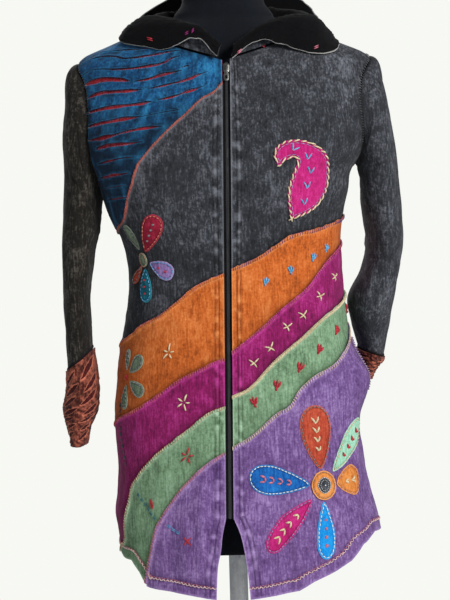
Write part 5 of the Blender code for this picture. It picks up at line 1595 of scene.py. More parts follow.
def tear(pixels, wide, seed, sides=30):
    """A tear's outline on the yoke, ragged along a smooth line, and its upper edge alone."""
    places = flat([seen(x, y) for x, y in pixels])
    share = np.linspace(0, 1, len(places))
    t = np.linspace(0, 1, sides)
    line = np.stack([spline(np.column_stack([share, places]), column)(t) for column in (1, 2)], 1)
    s = way_along(line)
    open_by = np.sin(math.pi * np.clip(t, 0.012, 0.988)) ** 0.6 * (0.62 + 0.38 * waver(s, 0.019, seed))
    ragged = 0.00016 * waver(s, 0.0026, seed + 1)
    normal = left_normal(line)
    half = np.maximum(open_by * wide * GAPE, 0.00030)[:, None]
    upper, lower = line + normal * (half + ragged[:, None]), line - normal * half
    return np.concatenate([lower, upper[::-1]]), upper


def torn(loop, uneven=0.0004):
    """A slit whose two edges waver as torn cloth does."""
    s, y = way_along(loop), loop[:, 1]
    wavy = noise(s / 0.0052, y * 400, 31) + 0.6 * noise(s / 0.0021, y * 300, 32)
    return loop + np.stack([0 * s, uneven * wavy], 1)


def yoke():
    """The slashed blue layer on its red underlayer, with fibres and raised lips at its tears, painted shade
    on the blue, and black thread under each upper lip as a painted shadow line.
    """
    outline = front_top("right", spline(YOKE_SEAM, 1))
    points, faces = filled(inset(outline, SEAM_GAP / 2), [], UNDER_CELL, [])
    under = body_out(points) * 0.5 - 0.0004
    piece, area = shell("yoke_underlayer_cloth", points, faces, body, under + SHELL / 2, under - SHELL / 2,
                        CLOTH["red"])
    sewn_cloth(piece, points, area, "red_cloth", replaces=("yoke_underlayer",))
    tears = [tear(pixels, wide, 300 + number * 3) for number, (pixels, wide) in enumerate(YOKE_TEARS)]
    slits = [loop for loop, _ in tears]
    loop = inset(outline, 0.0010)
    points, faces = filled(loop, slits, SLASHED_CELL, [])
    d = np.min([measured(points, closed(slit))[0] for slit in slits], axis=0)
    lips = np.min([measured(points, upper)[0] for _, upper in tears], axis=0)
    edge = measured(points, closed(loop))[0]
    x, y = points[:, 0], points[:, 1]
    puff = 0.0014 * bell(lips, 0.0022) + 0.0015 * (1 - bell(d, 0.0042)) + 0.0004 * bell(d, 0.0008)
    gathers = 0.0007 * noise(x / 0.0080, y / 0.040, 33) + 0.00045 * noise(x / 0.0042, y / 0.016, 34)
    out = under_of(points) + 0.0016 + (puff + gathers) * np.clip(edge / 0.005, 0, 1)
    worn = 0.20 * bell(d, 0.0007) + 0.35 * np.clip(noise(x / 0.0060, y / 0.020, 35), 0, 1)
    worn += bell(measured(points, zip_line("right", 1.29, 1.345))[0], 0.002)
    # Random darker dye, and painted shade along the yoke's edges, down its lower part and just beside each
    # tear
    deep_dye_and_painted_shade = 0.55 * np.clip(noise(x / 0.0075, y / 0.030, 36), 0, 1) + 0.6 * bell(edge, 0.006)
    deep_dye_and_painted_shade += 1.0 * np.clip((1.290 - y) / 0.09, 0, 1) + 0.75 * bell(d, 0.0012, 0.0014)
    deep_dye_and_painted_shade += 0.4 * np.clip(noise(x / 0.0050, y / 0.012, 37), 0, 1)
    piece, area = shell("yoke_slashed_cloth", points, faces, body, out + PATCH / 2, out - PATCH / 2,
                        CLOTH["blue"], {"worn": np.clip(worn, 0, 1), "deep_dye_and_painted_shade": np.clip(deep_dye_and_painted_shade, 0, 1)})
    sewn_cloth(piece, points, area, "blue_cloth", rests_on=("yoke_underlayer_cloth",),
               replaces=("yoke_slashed",))
    for number, (slit, upper) in enumerate(tears):
        fray("sky", slit, 40 + number)
        # Black thread laid under each tear's upper lip: a painted shadow line
        starts, ends = dashes(upper, 0.0030, 0.0)
        sew_on(("black", "fray"), body, starts, ends, under_of(starts) + 0.0006, 0.00042)


def under_of(points):
    return body_out(points) * 0.5 - 0.0004 + SHELL / 2


def fray(batch, slit, seed):
    """Short loose fibres that lie over a slit from its edges."""
    middle = slit.mean(0)
    line = closed(slit)
    starts, _ = dashes(line, 0.0008, 0.0008)
    index = np.arange(len(starts))
    aim = np.sign(middle[1] - starts[:, 1])
    long = 0.0014 + 0.0010 * noise(index * 0.7, index * 0.1, seed)
    lean = 0.0010 * noise(index * 0.9, index * 0.3, seed + 1)
    ends = starts + np.stack([lean, aim * long], 1)
    sew_on((batch, "fray"), body, starts, ends, under_of(starts) + 0.0018, 0.00014)


# Trims that follow a line on the coat


def dashes(line, long, gap):
    """The ends of stitches laid along a line of points."""
    s = way_along(line)
    starts = np.arange(0, max(s[-1] - long, long * 0.5), long + gap)

    def at(value):
        return np.stack([np.interp(value, s, line[:, 0]), np.interp(value, s, line[:, 1])], 1)

    return at(starts), at(np.minimum(starts + long, s[-1]))


def evenly(line, step):
    """A line's points again, a step apart, with the way along it at each."""
    s = way_along(line)
    at = np.linspace(0, s[-1], max(2, round(s[-1] / step) + 1))
    points = np.stack([np.interp(at, s, line[:, 0]), np.interp(at, s, line[:, 1])], 1)
    return points, at


def overlock(batch, place, line, low, high, spacing, slant, level, thick, uneven=0.0004, seed=50):
    """Slanted threads over an edge, from a distance on its right to one on its left."""
    points, s = evenly(line, spacing)
    normal = left_normal(points)
    way = np.stack([normal[:, 1], -normal[:, 0]], 1)
    wave = uneven * waver(s, 0.004, seed)[:, None]
    lean = slant * (1 + 0.4 * waver(s, 0.006, seed + 1)[:, None])
    start = points + normal * (low + wave) - way * lean / 2
    end = points + normal * (high - wave) + way * lean / 2
    sew_on(batch, place, start, end, level, thick)


def strip(name, line, across, levels, thick, finish, slot, place=on_body, wave=0.0007, seed=60, worn=0.6,
          rests_on=("form_torso",), held="draped", replaces=()):
    """A narrow strip of cloth along a line, its section given by offsets to the left and levels out."""
    points, s = evenly(line, 0.0022)
    across, levels = np.asarray(across, float), np.asarray(levels, float)
    free = 1 - np.linspace(0, 1, len(across))[None]
    wobble = wave * (waver(s, 0.010, seed) + 0.6 * waver(s, 0.0042, seed + 1))
    offsets = across[None] + wobble[:, None] * free
    grid = (points[:, None] + left_normal(points)[:, None] * offsets[..., None]).reshape(-1, 2)
    level = (levels[None] + 0.0004 * waver(s, 0.0060, seed + 2)[:, None] * free).ravel()
    outer, inner = place(grid, level), place(grid, level - thick)
    count = len(grid)
    index = np.arange(count).reshape(offsets.shape)
    quads = np.stack(cells(index), 1)
    uv = np.stack([np.repeat(s, len(across)), np.tile(across, len(s))], 1)
    rubbed = worn * (0.6 + 0.4 * np.repeat(waver(s, 0.008, seed + 3), len(across)))
    piece = two_sided(name, outer, inner, [quads[:, ::-1], quads + count, rim_walls(index)[:, ::-1]], finish,
                      uv, {"worn": rubbed})
    outward(piece)
    sewn_cloth(piece, uv, quad_area(outer, quads), slot, held=held, rests_on=rests_on, replaces=replaces)


def outward(piece):
    """Turns a closed mesh's faces out where they point in."""
    mesh = piece.data
    mesh.calc_loop_triangles()
    corners = np.empty(len(mesh.loop_triangles) * 3, np.int32)
    mesh.loop_triangles.foreach_get("vertices", corners)
    points = np.empty(len(mesh.vertices) * 3, np.float32)
    mesh.vertices.foreach_get("co", points)
    points = points.reshape(-1, 3).astype(float)
    a, b, c = (points[corners.reshape(-1, 3)[:, k]] for k in range(3))
    if (a * np.cross(b, c)).sum() < 0:
        mesh.flip_normals()


FLANGE_ACROSS = (0.0034, 0.0026, 0.0012, -0.0004, -0.0014)
FLANGE_LEVELS = (0.0018, 0.0023, 0.0024, 0.0020, 0.0012)


def raw_seam(name, curve, start, end, dye, threads, seed):
    """The raw upper edge of a band, lapped over the band above and overlocked."""
    line = seam_line(curve, start, end, 0.5)
    strip("raw_edge_" + name, line, FLANGE_ACROSS, FLANGE_LEVELS, 0.0007, CLOTH[dye], dye + "_cloth",
          seed=seed, worn=0.75)
    for number, (batch, thick) in enumerate(threads):
        overlock((batch, "seams"), on_body, line, -0.0012, 0.0034, 0.0021 * len(threads), 0.0016, 0.0026,
                 thick * 1.25, seed=seed + 7 * number)
    starts, ends = dashes(line + left_normal(line) * 0.0035, 0.0026, 0.0010)
    sew_on((threads[0][0], "seams"), on_body, starts, ends, 0.0024, 0.00034)


# seam, its threads on the wearer's right, on the left and round the back, each with its half thickness
SEAM_THREADS = (
    ("orange", (("pink", 0.00036), ("orange", 0.00040)), (("purple", 0.00045), ("orange", 0.00040)),
     (("orange", 0.00040), ("peach", 0.00036))),
    ("magenta", (("orange", 0.00034), ("salmon", 0.00036)), (("salmon", 0.00036), ("magenta", 0.00036)),
     (("salmon", 0.00036), ("orange", 0.00036))),
    ("green", (("red", 0.00045), ("cream", 0.00048)), (("cream", 0.00075),),
     (("cream", 0.00050), ("red", 0.00042))),
    ("purple", (("peach", 0.00040), ("pink", 0.00042)), (("cream", 0.00050), ("pink", 0.00042)),
     (("peach", 0.00040), ("pink", 0.00042))),
)


def raw_seams():
    for number, (name, *threads) in enumerate(SEAM_THREADS):
        right, left, round_back = spline(RIGHT_SEAMS[name], 1), spline(LEFT_SEAMS[name], 1), back_seam(name)
        runs = (("right", right, right_start(right), meets_edge("right", right)),
                ("left", left, meets_edge("left", left), 90),
                ("back", round_back, 90, last_wide(round_back, hem, 90.0, 270.0)))
        for k, (where, curve, start, end) in enumerate(runs):
            raw_seam(f"{name}_{where}", curve, start, end, name, threads[k], 70 + number * 10 + k * 4)
    curve = spline(YOKE_SEAM, 1)
    line = seam_line(curve, -89, meets_edge("right", curve), 0.5)
    strip("raw_edge_yoke", line, (0.0015, 0.0010, 0.0, -0.0008, -0.0014),
          (0.0020, 0.0031, 0.0036, 0.0030, 0.0014), 0.0009, CLOTH["seam"], "rust_applique", seed=66, worn=0.8)
    overlock(("salmon", "seams"), on_body, line, -0.0010, 0.0012, 0.0044, 0.0026, 0.0036, 0.00022, seed=67)


def right_start(curve):
    """The angle on the wearer's right where a seam meets the side, or the hem."""
    angles = np.linspace(-90, 0, 361)
    return float(angles[np.nonzero(curve(angles) > hem(angles) + 0.003)[0][0]])


def hems():
    """A curling hem with its pale zigzag, on each front and round the back."""
    right_near, left_near = meets_edge("right", hem), meets_edge("left", hem)
    for number, (start, end) in enumerate(((-90, right_near), (left_near, 90), (90, 270))):
        line = seam_line(hem, start, end, 0.5)
        points, s = evenly(line + left_normal(line) * 0.0150, 0.0030)
        side = np.where(np.arange(len(points)) % 2 == 0, 0.0014, -0.0014)
        side = side + 0.0006 * waver(s, 0.01, 90 + number)
        zig = points + side[:, None] * left_normal(points)
        sew_on(("blush", "hem"), on_body, zig[:-1], zig[1:], 0.0013, 0.00075)
        starts, ends = dashes(line + left_normal(line) * 0.0170, 0.0030, 0.0010)
        sew_on(("pink", "hem"), on_body, starts, ends, 0.0010, 0.00050)


def plackets():
    """Two rows of topstitching down each front, beside the zip."""
    for side, low in (("right", 0.596), ("left", 0.600)):
        heights = np.linspace(low, 1.326, 360)
        edge = flat(np.stack([front_edge(side, heights), heights], 1))
        for offset in (0.0100, 0.0160):
            starts, ends = dashes(edge + np.array([SIDE[side] * offset, 0]), 0.0030, 0.0012)
            sew_on(("black", "placket"), on_body, starts, ends, 0.0004, 0.00022)


# Sleeves and cuffs


def tube(node, side, rows, around, finish, slot):
    """A closed tube of cloth round an arm, along some rows of its table."""
    place = on_sleeve(side)
    turns = np.arange(around) * 360.0 / around * CUFF_FLAT
    grid = np.stack([np.tile(turns, len(rows)), np.repeat(-np.asarray(rows) * CUFF_LONG, around)], 1)
    outer, inner = place(grid, SHELL / 2), place(grid, -SHELL / 2)
    count = len(grid)
    index = np.arange(count).reshape(len(rows), around)
    a, b, c, d = cells(wrapped(index))
    quads = np.stack([a, d, c, b], 1)
    ahead = np.roll(index, -1, 1)
    first = np.stack([index[0], ahead[0], ahead[0] + count, index[0] + count], 1)
    last = np.stack([ahead[-1], index[-1], index[-1] + count, ahead[-1] + count], 1)
    row = grid[:, 1] / -CUFF_LONG
    # Painted shade round both ends of the tube, where it meets the next piece
    deep_dye_and_painted_shade = 0.9 * bell(row, 0.10, rows[0]) + 0.8 * bell(row, 0.10, rows[-1])
    piece = two_sided(node + "_cloth", outer, inner, [quads, quads[:, ::-1] + count, first, last], finish,
                      grid * np.array([1.0, 1.5]), {"deep_dye_and_painted_shade": deep_dye_and_painted_shade})
    outward(piece)
    area = quad_area(outer, quads)
    rings = outer.reshape(len(rows), around, 3)
    wide = float(np.linalg.norm(np.diff(rings, axis=1, append=rings[:, :1]), axis=2).sum(1).max())
    sewn_cloth(piece, None, area, slot, replaces=(node,), size=(wide, area / wide))


def sleeve(side):
    first, last, on_right = CUFF_FROM[side], len(SLEEVE[side]), side == "right"
    rows = np.concatenate([np.linspace(0, 1, 26)[:-1], np.linspace(1, first - 0.01, 118)])
    # The wearer's right sleeve takes the charcoal darkened as painted shade
    tube("sleeve_" + side, side, rows, 100, CLOTH["shaded" if on_right else "charcoal"], "charcoal_cloth")
    rows = np.linspace(first + 0.01, last, 40)
    # The cuffs' underlayer is red darkened as painted shade
    tube("cuff_underlayer_" + side, side, rows, 80, CLOTH["dark_red_with_painted_shade"], "red_cloth")
    for half, start in (("front", 0 if on_right else 180), ("back", 180 if on_right else 0)):
        cuff_half(side, half, start, last)
    ring = np.linspace(0, 360, 241)
    line = np.stack([ring * CUFF_FLAT, np.full(241, -(first - 0.03) * CUFF_LONG)], 1)
    overlock(("black", "cuffs"), on_sleeve(side), line, -0.0016, 0.0016, 0.0030, 0.0010, 0.0012, 0.00040,
             seed=95)
    overlock(("cream" if on_right else "grey", "armholes"), on_body, flat(armhole(side, ring)), -0.0006,
             0.0022, 0.0036, 0.0014, 0.0010, 0.00032, seed=96)


def cuff_slits(side, start, last):
    """Two slits a row, the rows set off from one another."""
    for number, row in enumerate(np.arange(CUFF_FROM[side] + 0.45, last - 0.35, 0.50)):
        for k in range(2):
            left = start + 3.0 + 10 + k * 82 + 9 * (number % 2)
            yield torn(lens(cuff_flat((left, row + 0.20)), cuff_flat((left + 66, row - 0.20)), 0.0072))


def cuff_half(side, half, start, last):
    """One half of a cuff's rust layer, slashed in slanting rows over the red one."""
    place = on_sleeve(side)
    first, end = start + 1.0, start + 179.0
    around = np.linspace(first, end, 90)
    down = np.linspace(CUFF_FROM[side] + 0.03, last - 0.01, 44)
    outline = [(a, down[0]) for a in around] + [(end, r) for r in down[1:-1]]
    outline += [(a, down[-1]) for a in around[::-1]] + [(first, r) for r in down[1:-1][::-1]]
    slits = list(cuff_slits(side, start, last))
    holes = [anticlockwise(slit) for slit in slits]
    points, faces = filled(anticlockwise(cuff_flat(outline)), holes, CUFF_CELL, [])
    d = np.min([measured(points, closed(slit))[0] for slit in slits], axis=0)
    x, y = points[:, 0], points[:, 1]
    slant = y + x * 0.30
    rows = noise(x / 0.012, slant / 0.004, 97)
    out = SHELL / 2 + 0.0008 + 0.0015 * (1 - bell(d, 0.0034))
    out = out + 0.0006 * rows + 0.0005 * noise(x / 0.006, slant / 0.0022, 98)
    worn = 0.8 * bell(d, 0.0008) + 0.5 * np.clip(rows, 0, 1)
    # Painted shade in the troughs of the slanted rows and just beside each slit
    deep_dye_and_painted_shade = 0.9 * np.clip(-rows, 0, 1) + 0.8 * bell(d, 0.0010, 0.0014)
    name = f"cuff_slashed_{side}_{half}"
    piece, area = shell(name + "_cloth", points, faces, place, out + PATCH / 2, out - PATCH / 2,
                        CLOTH["rust"], {"worn": worn, "deep_dye_and_painted_shade": deep_dye_and_painted_shade})
    across = place(cuff_flat([(a, down[22]) for a in around]), 0.0)
    along = place(cuff_flat([(start + 90, row) for row in down]), 0.0)
    wide, long = (np.linalg.norm(np.diff(line, axis=0), axis=1).sum() for line in (across, along))
    corners = np.array([(0, 0), (wide, 0), (wide, long), (0, long)])
    sewn_cloth(piece, corners, area, "rust_cloth", replaces=(name,),
               rests_on=(f"cuff_underlayer_{side}_cloth",))


# The hood


# Small stitches in the open hood: a pixel of the photograph, thread, length and slope
HOOD_KNOTS = (
    (146, 39, "red", 0.009, -0.3), (184, 30, "magenta", 0.006, 0.5), (190, 29, "magenta", 0.006, 0.9),
    (242, 52, "pink", 0.008, 0.6), (266, 44, "red", 0.007, -0.5), (320, 45, "pink", 0.007, 0.4),
)


def hood():
    angles, steps = np.linspace(6, 354, 192), 56
    grid = np.array([hood_section(angle, steps) for angle in angles])
    normal = unit(np.cross(np.gradient(grid, axis=0), np.gradient(grid, axis=1)))
    share = np.linspace(0, 1, steps)[None]
    a = angles[:, None]
    free = np.clip(share * 4, 0, 1)
    uneven = free * (0.0010 * noise(a / 9.0, share * 5, 101) + 0.0006 * noise(a / 3.6, share * 12, 102))
    grid = grid + normal * uneven[..., None]
    rim_way = unit(grid[:, -1] - grid[:, -2])
    wave = 0.0011 * waver(angles, 5.0, 103) + 0.0006 * waver(angles, 2.1, 104)
    reach_out = np.clip((share - 0.7) / 0.3, 0, 1) ** 2
    grid = grid + (rim_way * wave[:, None])[:, None] * reach_out[..., None]
    gap = 0.0003
    hood_sheet("hood_outer", grid, normal, gap, gap + 0.0012 + 0 * share, CLOTH["charcoal"], "charcoal_cloth")
    tufts = free * (0.0007 * noise(a / 1.5, share * 34, 105) + 0.0005 * noise(a / 0.8, share * 60, 106))
    hood_sheet("hood_lining", grid, normal, -gap - 0.0016 - tufts - 0.0004, -gap, FLEECE, "black_fleece")
    rim = grid[:, -1]
    rim_cord(rim, rim_way)
    place_rim(rim, rim_way, unit(np.cross(np.gradient(rim, axis=0), rim_way)))
    lined = (grid - normal * 0.0022).reshape(-1, 3)
    for x, y, batch, long, slope in HOOD_KNOTS:
        start, way = ray(x, y)
        way = way / np.linalg.norm(way)
        along = (lined - start) @ way
        apart = np.linalg.norm(lined - start - along[:, None] * way, axis=1)
        place = lined[np.argmin(np.where(apart < 0.006, along, 99))] - way * 0.0012
        reach_by = np.array([math.cos(slope), 0, math.sin(slope)]) * long / 2
        for shift in (-0.0012, 0.0012):
            at = place + np.array([0, 0, shift])
            sew((batch, "hood"), at - reach_by, at + reach_by, -way, 0.0008)


def hood_sheet(node, grid, normal, low, high, finish, slot):
    """One layer of the hood, from a low level to a high one over its grid."""
    rows, columns = grid.shape[:2]
    outer, inner = ((grid + normal * np.broadcast_to(level, (rows, columns))[..., None]).reshape(-1, 3)
                    for level in (high, low))
    index = np.arange(rows * columns).reshape(rows, columns)
    a, b, c, d = cells(index)
    quads = np.stack([a, d, c, b], 1)
    uv = np.stack([np.repeat(way_along(grid[:, -1]), columns), np.tile(way_along(grid[rows // 2]), rows)], 1)
    worn = np.tile(bell(1 - np.linspace(0, 1, columns), 0.03), rows)
    piece = two_sided(node + "_cloth", outer, inner, [quads, quads[:, ::-1] + index.size, rim_walls(index)],
                      finish, uv, {"worn": worn})
    outward(piece)
    sewn_cloth(piece, uv, quad_area(outer, quads), slot, replaces=(node,),
               rests_on=("front_left_upper_cloth", "back_upper_cloth"))


def rim_cord(rim, rim_way, sides=8):
    """The hood's worn rim, a thin uneven cord."""
    path = rim + rim_way * 0.0004
    radius = 0.0008 * (1 + 0.25 * noise(np.arange(len(rim)) / 3.0, 0 * rim[:, 0], 110))
    way = unit(np.gradient(path, axis=0))
    side = unit(np.cross(way, np.array([0, 0, 1.0])))
    up = np.cross(side, way)
    turn = np.arange(sides) * 2 * math.pi / sides
    ring = side[:, None] * np.cos(turn)[None, :, None] + up[:, None] * np.sin(turn)[None, :, None]
    points = (path[:, None] + radius.reshape(-1, 1, 1) * ring).reshape(-1, 3)
    index = np.arange(len(points)).reshape(-1, sides)
    quads = np.stack(cells(wrapped(index)), 1)
    piece = mesh_of("hood_rim_edge", points, [quads, index[:1, ::-1], index[-1:]], CLOTH["rim"],
                    attributes={"worn": np.ones(len(points))})
    outward(piece)
    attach(piece, COAT)


def place_rim(rim, rim_way, out):
    """Pale overlocking round the hood's rim."""
    s = way_along(rim)
    at = np.arange(0.001, s[-1] - 0.001, 0.0024)

    def follow(values):
        return np.stack([np.interp(at, s, values[:, k]) for k in range(3)], 1)

    edge, inward, normal = follow(rim), follow(rim_way), follow(out)
    way = unit(np.gradient(edge, axis=0))
    for side in (1, -1):
        start = edge - inward * 0.0030 + normal * side * 0.0016 - way * 0.0006
        end = edge + inward * 0.0014 + normal * side * 0.0004 + way * 0.0006
        sew(("grey", "rim"), start, end, normal * side, 0.00036)


# Patches and embroidery


def patch(node, outline, dye, slot, lift=0.0, pillow=0.0009, rests_on=(), seed=120):
    """A piece sewn on a panel, a little full inside its stitching."""
    loop = anticlockwise(np.asarray(outline, float))
    loop, s = evenly(closed(loop), 0.0017)
    loop = loop[:-1] + 0.00035 * np.stack([waver(s[:-1], 0.004, seed), waver(s[:-1], 0.004, seed + 1)], 1)
    points, faces = filled(loop, [], PATCH_CELL, [])
    d = measured(points, closed(loop))[0]
    base = body_out(points) + SHELL / 2 + LAID + lift
    swell = pillow * (1 - bell(d, 0.0036)) - 0.0005 * bell(d, 0.0009, 0.0028)
    swell = swell + 0.00025 * noise(points[:, 0] / 0.006, points[:, 1] / 0.007, seed + 2)
    # The second attribute is painted shade in the groove at the stitching
    piece, area = shell(node + "_cloth", points, faces, body, base + PATCH + swell, base, CLOTH[dye],
                        {"worn": 0.7 * bell(d, 0.0011), "deep_dye_and_painted_shade": 0.8 * bell(d, 0.0009, 0.0028)})
    sewn_cloth(piece, points, area, slot, held="laid", rests_on=rests_on, replaces=(node,))
    return loop


def set_at(shape, angle, height, turn=0.0):
    """A small shape in real metres, turned clockwise and set on the body."""
    return at_place(turned(np.asarray(shape, float), turn), angle, height)


def mark(batch, lines, at, turn=0.0, level=0.0024, thick=0.00055):
    """A motif's threads, each line two points in real metres."""
    for start, end in lines:
        ends = set_at([start, end], *at, turn)
        sew_on((batch, "marks"), on_body, ends[:1], ends[1:], level, thick)


def through(*points):
    """Threads from each point to the next."""
    return list(zip(points[:-1], points[1:]))


def vee(wide, tall, at=(0.0, 0.0)):
    x, y = at
    return through((x - wide / 2, y + tall / 2), (x, y - tall / 2), (x + wide / 2, y + tall / 2))


def cup(wide, tall, at=(0.0, 0.0)):
    x, y = at
    return through((x - wide / 2, y + tall / 2), (x - wide / 3, y - tall / 2), (x + wide / 3, y - tall / 2),
                   (x + wide / 2, y + tall / 2))


def star(arms, inner, start=0.0):
    """Stitches out from a middle, each arm's length in mm."""
    lines = []
    for k, long in enumerate(arms):
        a = math.radians(start) + 2 * math.pi * k / len(arms)
        way = np.array([math.sin(a), math.cos(a)])
        lines.append((way * inner, way * long * 1e-3))
    return lines


def knot(size, at=(0.0, 0.0)):
    x, y = at
    return [((x - size / 2, y - size / 4), (x + size / 2, y + size / 4)),
            ((x - size / 3, y + size / 3), (x + size / 3, y - size / 3)),
            ((x, y - size / 2), (x, y + size / 2))]


def edging(batch, loop, inset_by, long, gap, level, thick):
    line = closed(inset(loop, inset_by))
    starts, ends = dashes(line, long, gap)
    sew_on((batch, "patches"), on_body, starts, ends, level, thick)


# Each patch's cloth, its slot, its edge thread and its marks' thread
PATCH_FINISH = {
    "rust": ("patch_rust", "rust_applique", "grey", "cream"),
    "mint": ("patch_mint", "mint_applique", "cream", "red"),
    "orange": ("patch_orange", "orange_applique", "peach", "cream"),
    "bright_blue": ("patch_bright", "blue_applique", "white", "pink"),
    "magenta": ("patch_magenta", "magenta_applique", "lilac", "cream"),
    "red": ("patch_red", "red_applique", "salmon", "grey"),
    "lilac": ("patch_lilac", "lilac_applique", "sky", "red"),
    "teal": ("patch_teal", "teal_applique", "sky", "red"),
    "grey_green": ("patch_grey", "grey_applique", "grey", "cream"),
}


def flower(prefix, place_at, petals, panel_name, marks):
    """A flower's petals with their edge stitching and the marks along each."""
    for number, (name, colour, turn, long, wide, root) in enumerate(petals):
        dye, slot, edge_thread, mark_thread = PATCH_FINISH[colour]
        if (prefix, name) == ("patch_big", "left"):
            dye = "patch_blue"
        outline = petal(long, wide) + np.array([0, root])
        loop = patch(f"{prefix}_{name}", at_place(turned(outline, turn), *place_at), dye, slot,
                     rests_on=(panel_name,), seed=130 + number * 5)
        edging(edge_thread, loop, 0.0020, 0.0046, 0.0012, 0.0026, 0.00078)
        kind, count, size = marks.get(name, ("vee", 0, 0))
        for k in range(count):
            y = root + long * (0.24 + 0.60 * (k + 0.5) / count)
            fat = size * (0.7 + 0.3 * k / max(1, count - 1))
            shapes = {"vee": vee(fat, fat * 0.8, (0, y)), "cup": cup(fat, fat, (0, y)),
                      "knot": knot(fat * 0.7, (0, y))}
            mark(mark_thread, shapes[kind], place_at, turn, 0.0030, 0.00155)


def big_flower():
    on = "front_left_purple_cloth"
    flower("patch_big", BIG_FLOWER_AT, BIG_FLOWER, on, {
        "top": ("vee", 4, 0.0120), "upper_right": ("vee", 4, 0.0088), "right": ("vee", 2, 0.0092),
        "bottom": ("knot", 4, 0.0080), "lower_left": ("vee", 4, 0.0118), "left": ("cup", 4, 0.0090)})
    middle = patch("patch_big_middle", at_place(oval(*BIG_MIDDLE, sides=40), *BIG_FLOWER_AT), "patch_orange",
                   "orange_applique", lift=0.0016, rests_on=(on,), seed=180)
    eye = patch("patch_big_eye", at_place(oval(*BIG_EYE, sides=30), *BIG_FLOWER_AT), "charcoal",
                "dark_applique", lift=0.0034, rests_on=("patch_big_middle_cloth",), seed=184)
    edging("grey", middle, 0.0022, 0.0024, 0.0009, 0.0044, 0.00042)
    edging("white", eye, 0.0004, 0.0022, 0.0006, 0.0052, 0.00050)
    edging("white", eye, 0.0036, 0.0018, 0.0010, 0.0058, 0.00040)
    mark("white", knot(0.0032, (0.0008, 0.0002)), BIG_FLOWER_AT, 0, 0.0058, 0.0006)


def small_flower():
    on = "front_right_upper_cloth"
    flower("patch_small", SMALL_FLOWER_AT, SMALL_FLOWER, on, {
        "top": ("knot", 4, 0.0050), "side": ("knot", 2, 0.0056), "bottom": ("knot", 3, 0.0048)})
    outline = at_place(oval(*SMALL_MIDDLE, sides=30), *SMALL_FLOWER_AT)
    middle = patch("patch_small_middle", outline, "patch_grey", "grey_applique", lift=0.0016, rests_on=(on,),
                   seed=190)
    edging("peach", middle, 0.0008, 0.0022, 0.0005, 0.0044, 0.00048)


def green_flower():
    flower("patch_green", GREEN_FLOWER_AT, GREEN_FLOWER, "front_right_orange_cloth", {})
    mark("red", knot(0.0075), GREEN_FLOWER_AT, 0, 0.0030, 0.0010)
    mark("red", knot(0.0060, (0.001, 0.001)), GREEN_FLOWER_AT, 40, 0.0034, 0.0009)


def paisley():
    outline = anticlockwise(at_place(paisley_outline(), *PAISLEY_AT))
    loop = patch("patch_paisley", outline, "patch_magenta", "magenta_applique",
                 rests_on=("front_left_upper_cloth",), seed=200)
    line = closed(inset(loop, 0.0012))
    overlock(("cream", "patches"), on_body, line, -0.0014, 0.0012, 0.0098, 0.0094, 0.0026, 0.00125, seed=204)
    edging("lilac", loop, 0.0044, 0.0062, 0.0012, 0.0027, 0.00055)
    for x, y, turn in ((294, 148, 40), (307, 156, 10), (309.5, 170, 6), (306, 185, 0), (303, 201, -6)):
        mark("sky", vee(0.0105, 0.0095), seen(x, y), turn, 0.0030, 0.00115)


def ray(x, y):
    """Where the camera stands and the way it looks through a pixel of the photograph."""
    u, v = x - PHOTO_WIDE / 2, y - PHOTO_HIGH / 2
    across = (u * math.cos(CAMERA_ROLL) - v * math.sin(CAMERA_ROLL)) / FOCAL
    down = (u * math.sin(CAMERA_ROLL) + v * math.cos(CAMERA_ROLL)) / FOCAL
    cos, sin = math.cos(CAMERA_DOWN), math.sin(CAMERA_DOWN)
    return np.array(CAMERA_AT), np.array([across, cos - down * sin, -sin - down * cos])


def seen(x, y):
    """The angle and height on the coat's front that the photograph shows at a pixel."""
    start, way = ray(x, y)
    near, far = (-CAMERA_AT[1] - 0.20) / way[1], -CAMERA_AT[1] / way[1]
    for t in np.linspace(near, far, 400):
        p = start + t * way
        angle = math.degrees(math.atan2(p[0], -p[1]))
        if math.hypot(p[0], p[1]) < float(reach(angle, p[2])):
            break
    return angle, float(p[2])


SPRAY = np.array([
    ((-0.0036, 0.0046), (-0.0010, -0.0028)), ((0, 0.0058), (0, -0.0026)),
    ((0.0038, 0.0042), (0.0010, -0.0030)), ((-0.0008, -0.0020), (0.0004, -0.0062)),
])
FLY = np.array([
    ((-0.0052, 0.0016), (0, -0.0010)), ((0, -0.0010), (0.0040, 0.0040)), ((-0.0010, 0), (0.0030, -0.0046)),
    ((-0.0034, -0.0036), (0.0006, -0.0006)),
])


def spray(batch, at, turn, size):
    """Three close stitches over a short stem, as a leaf."""
    mark(batch, SPRAY * size, at, turn, 0.0011, 0.00125 * size)


def fly(batch, at, turn, size):
    """A little bird of four stitches."""
    mark(batch, FLY * size, at, turn, 0.0012, 0.00080 * size)


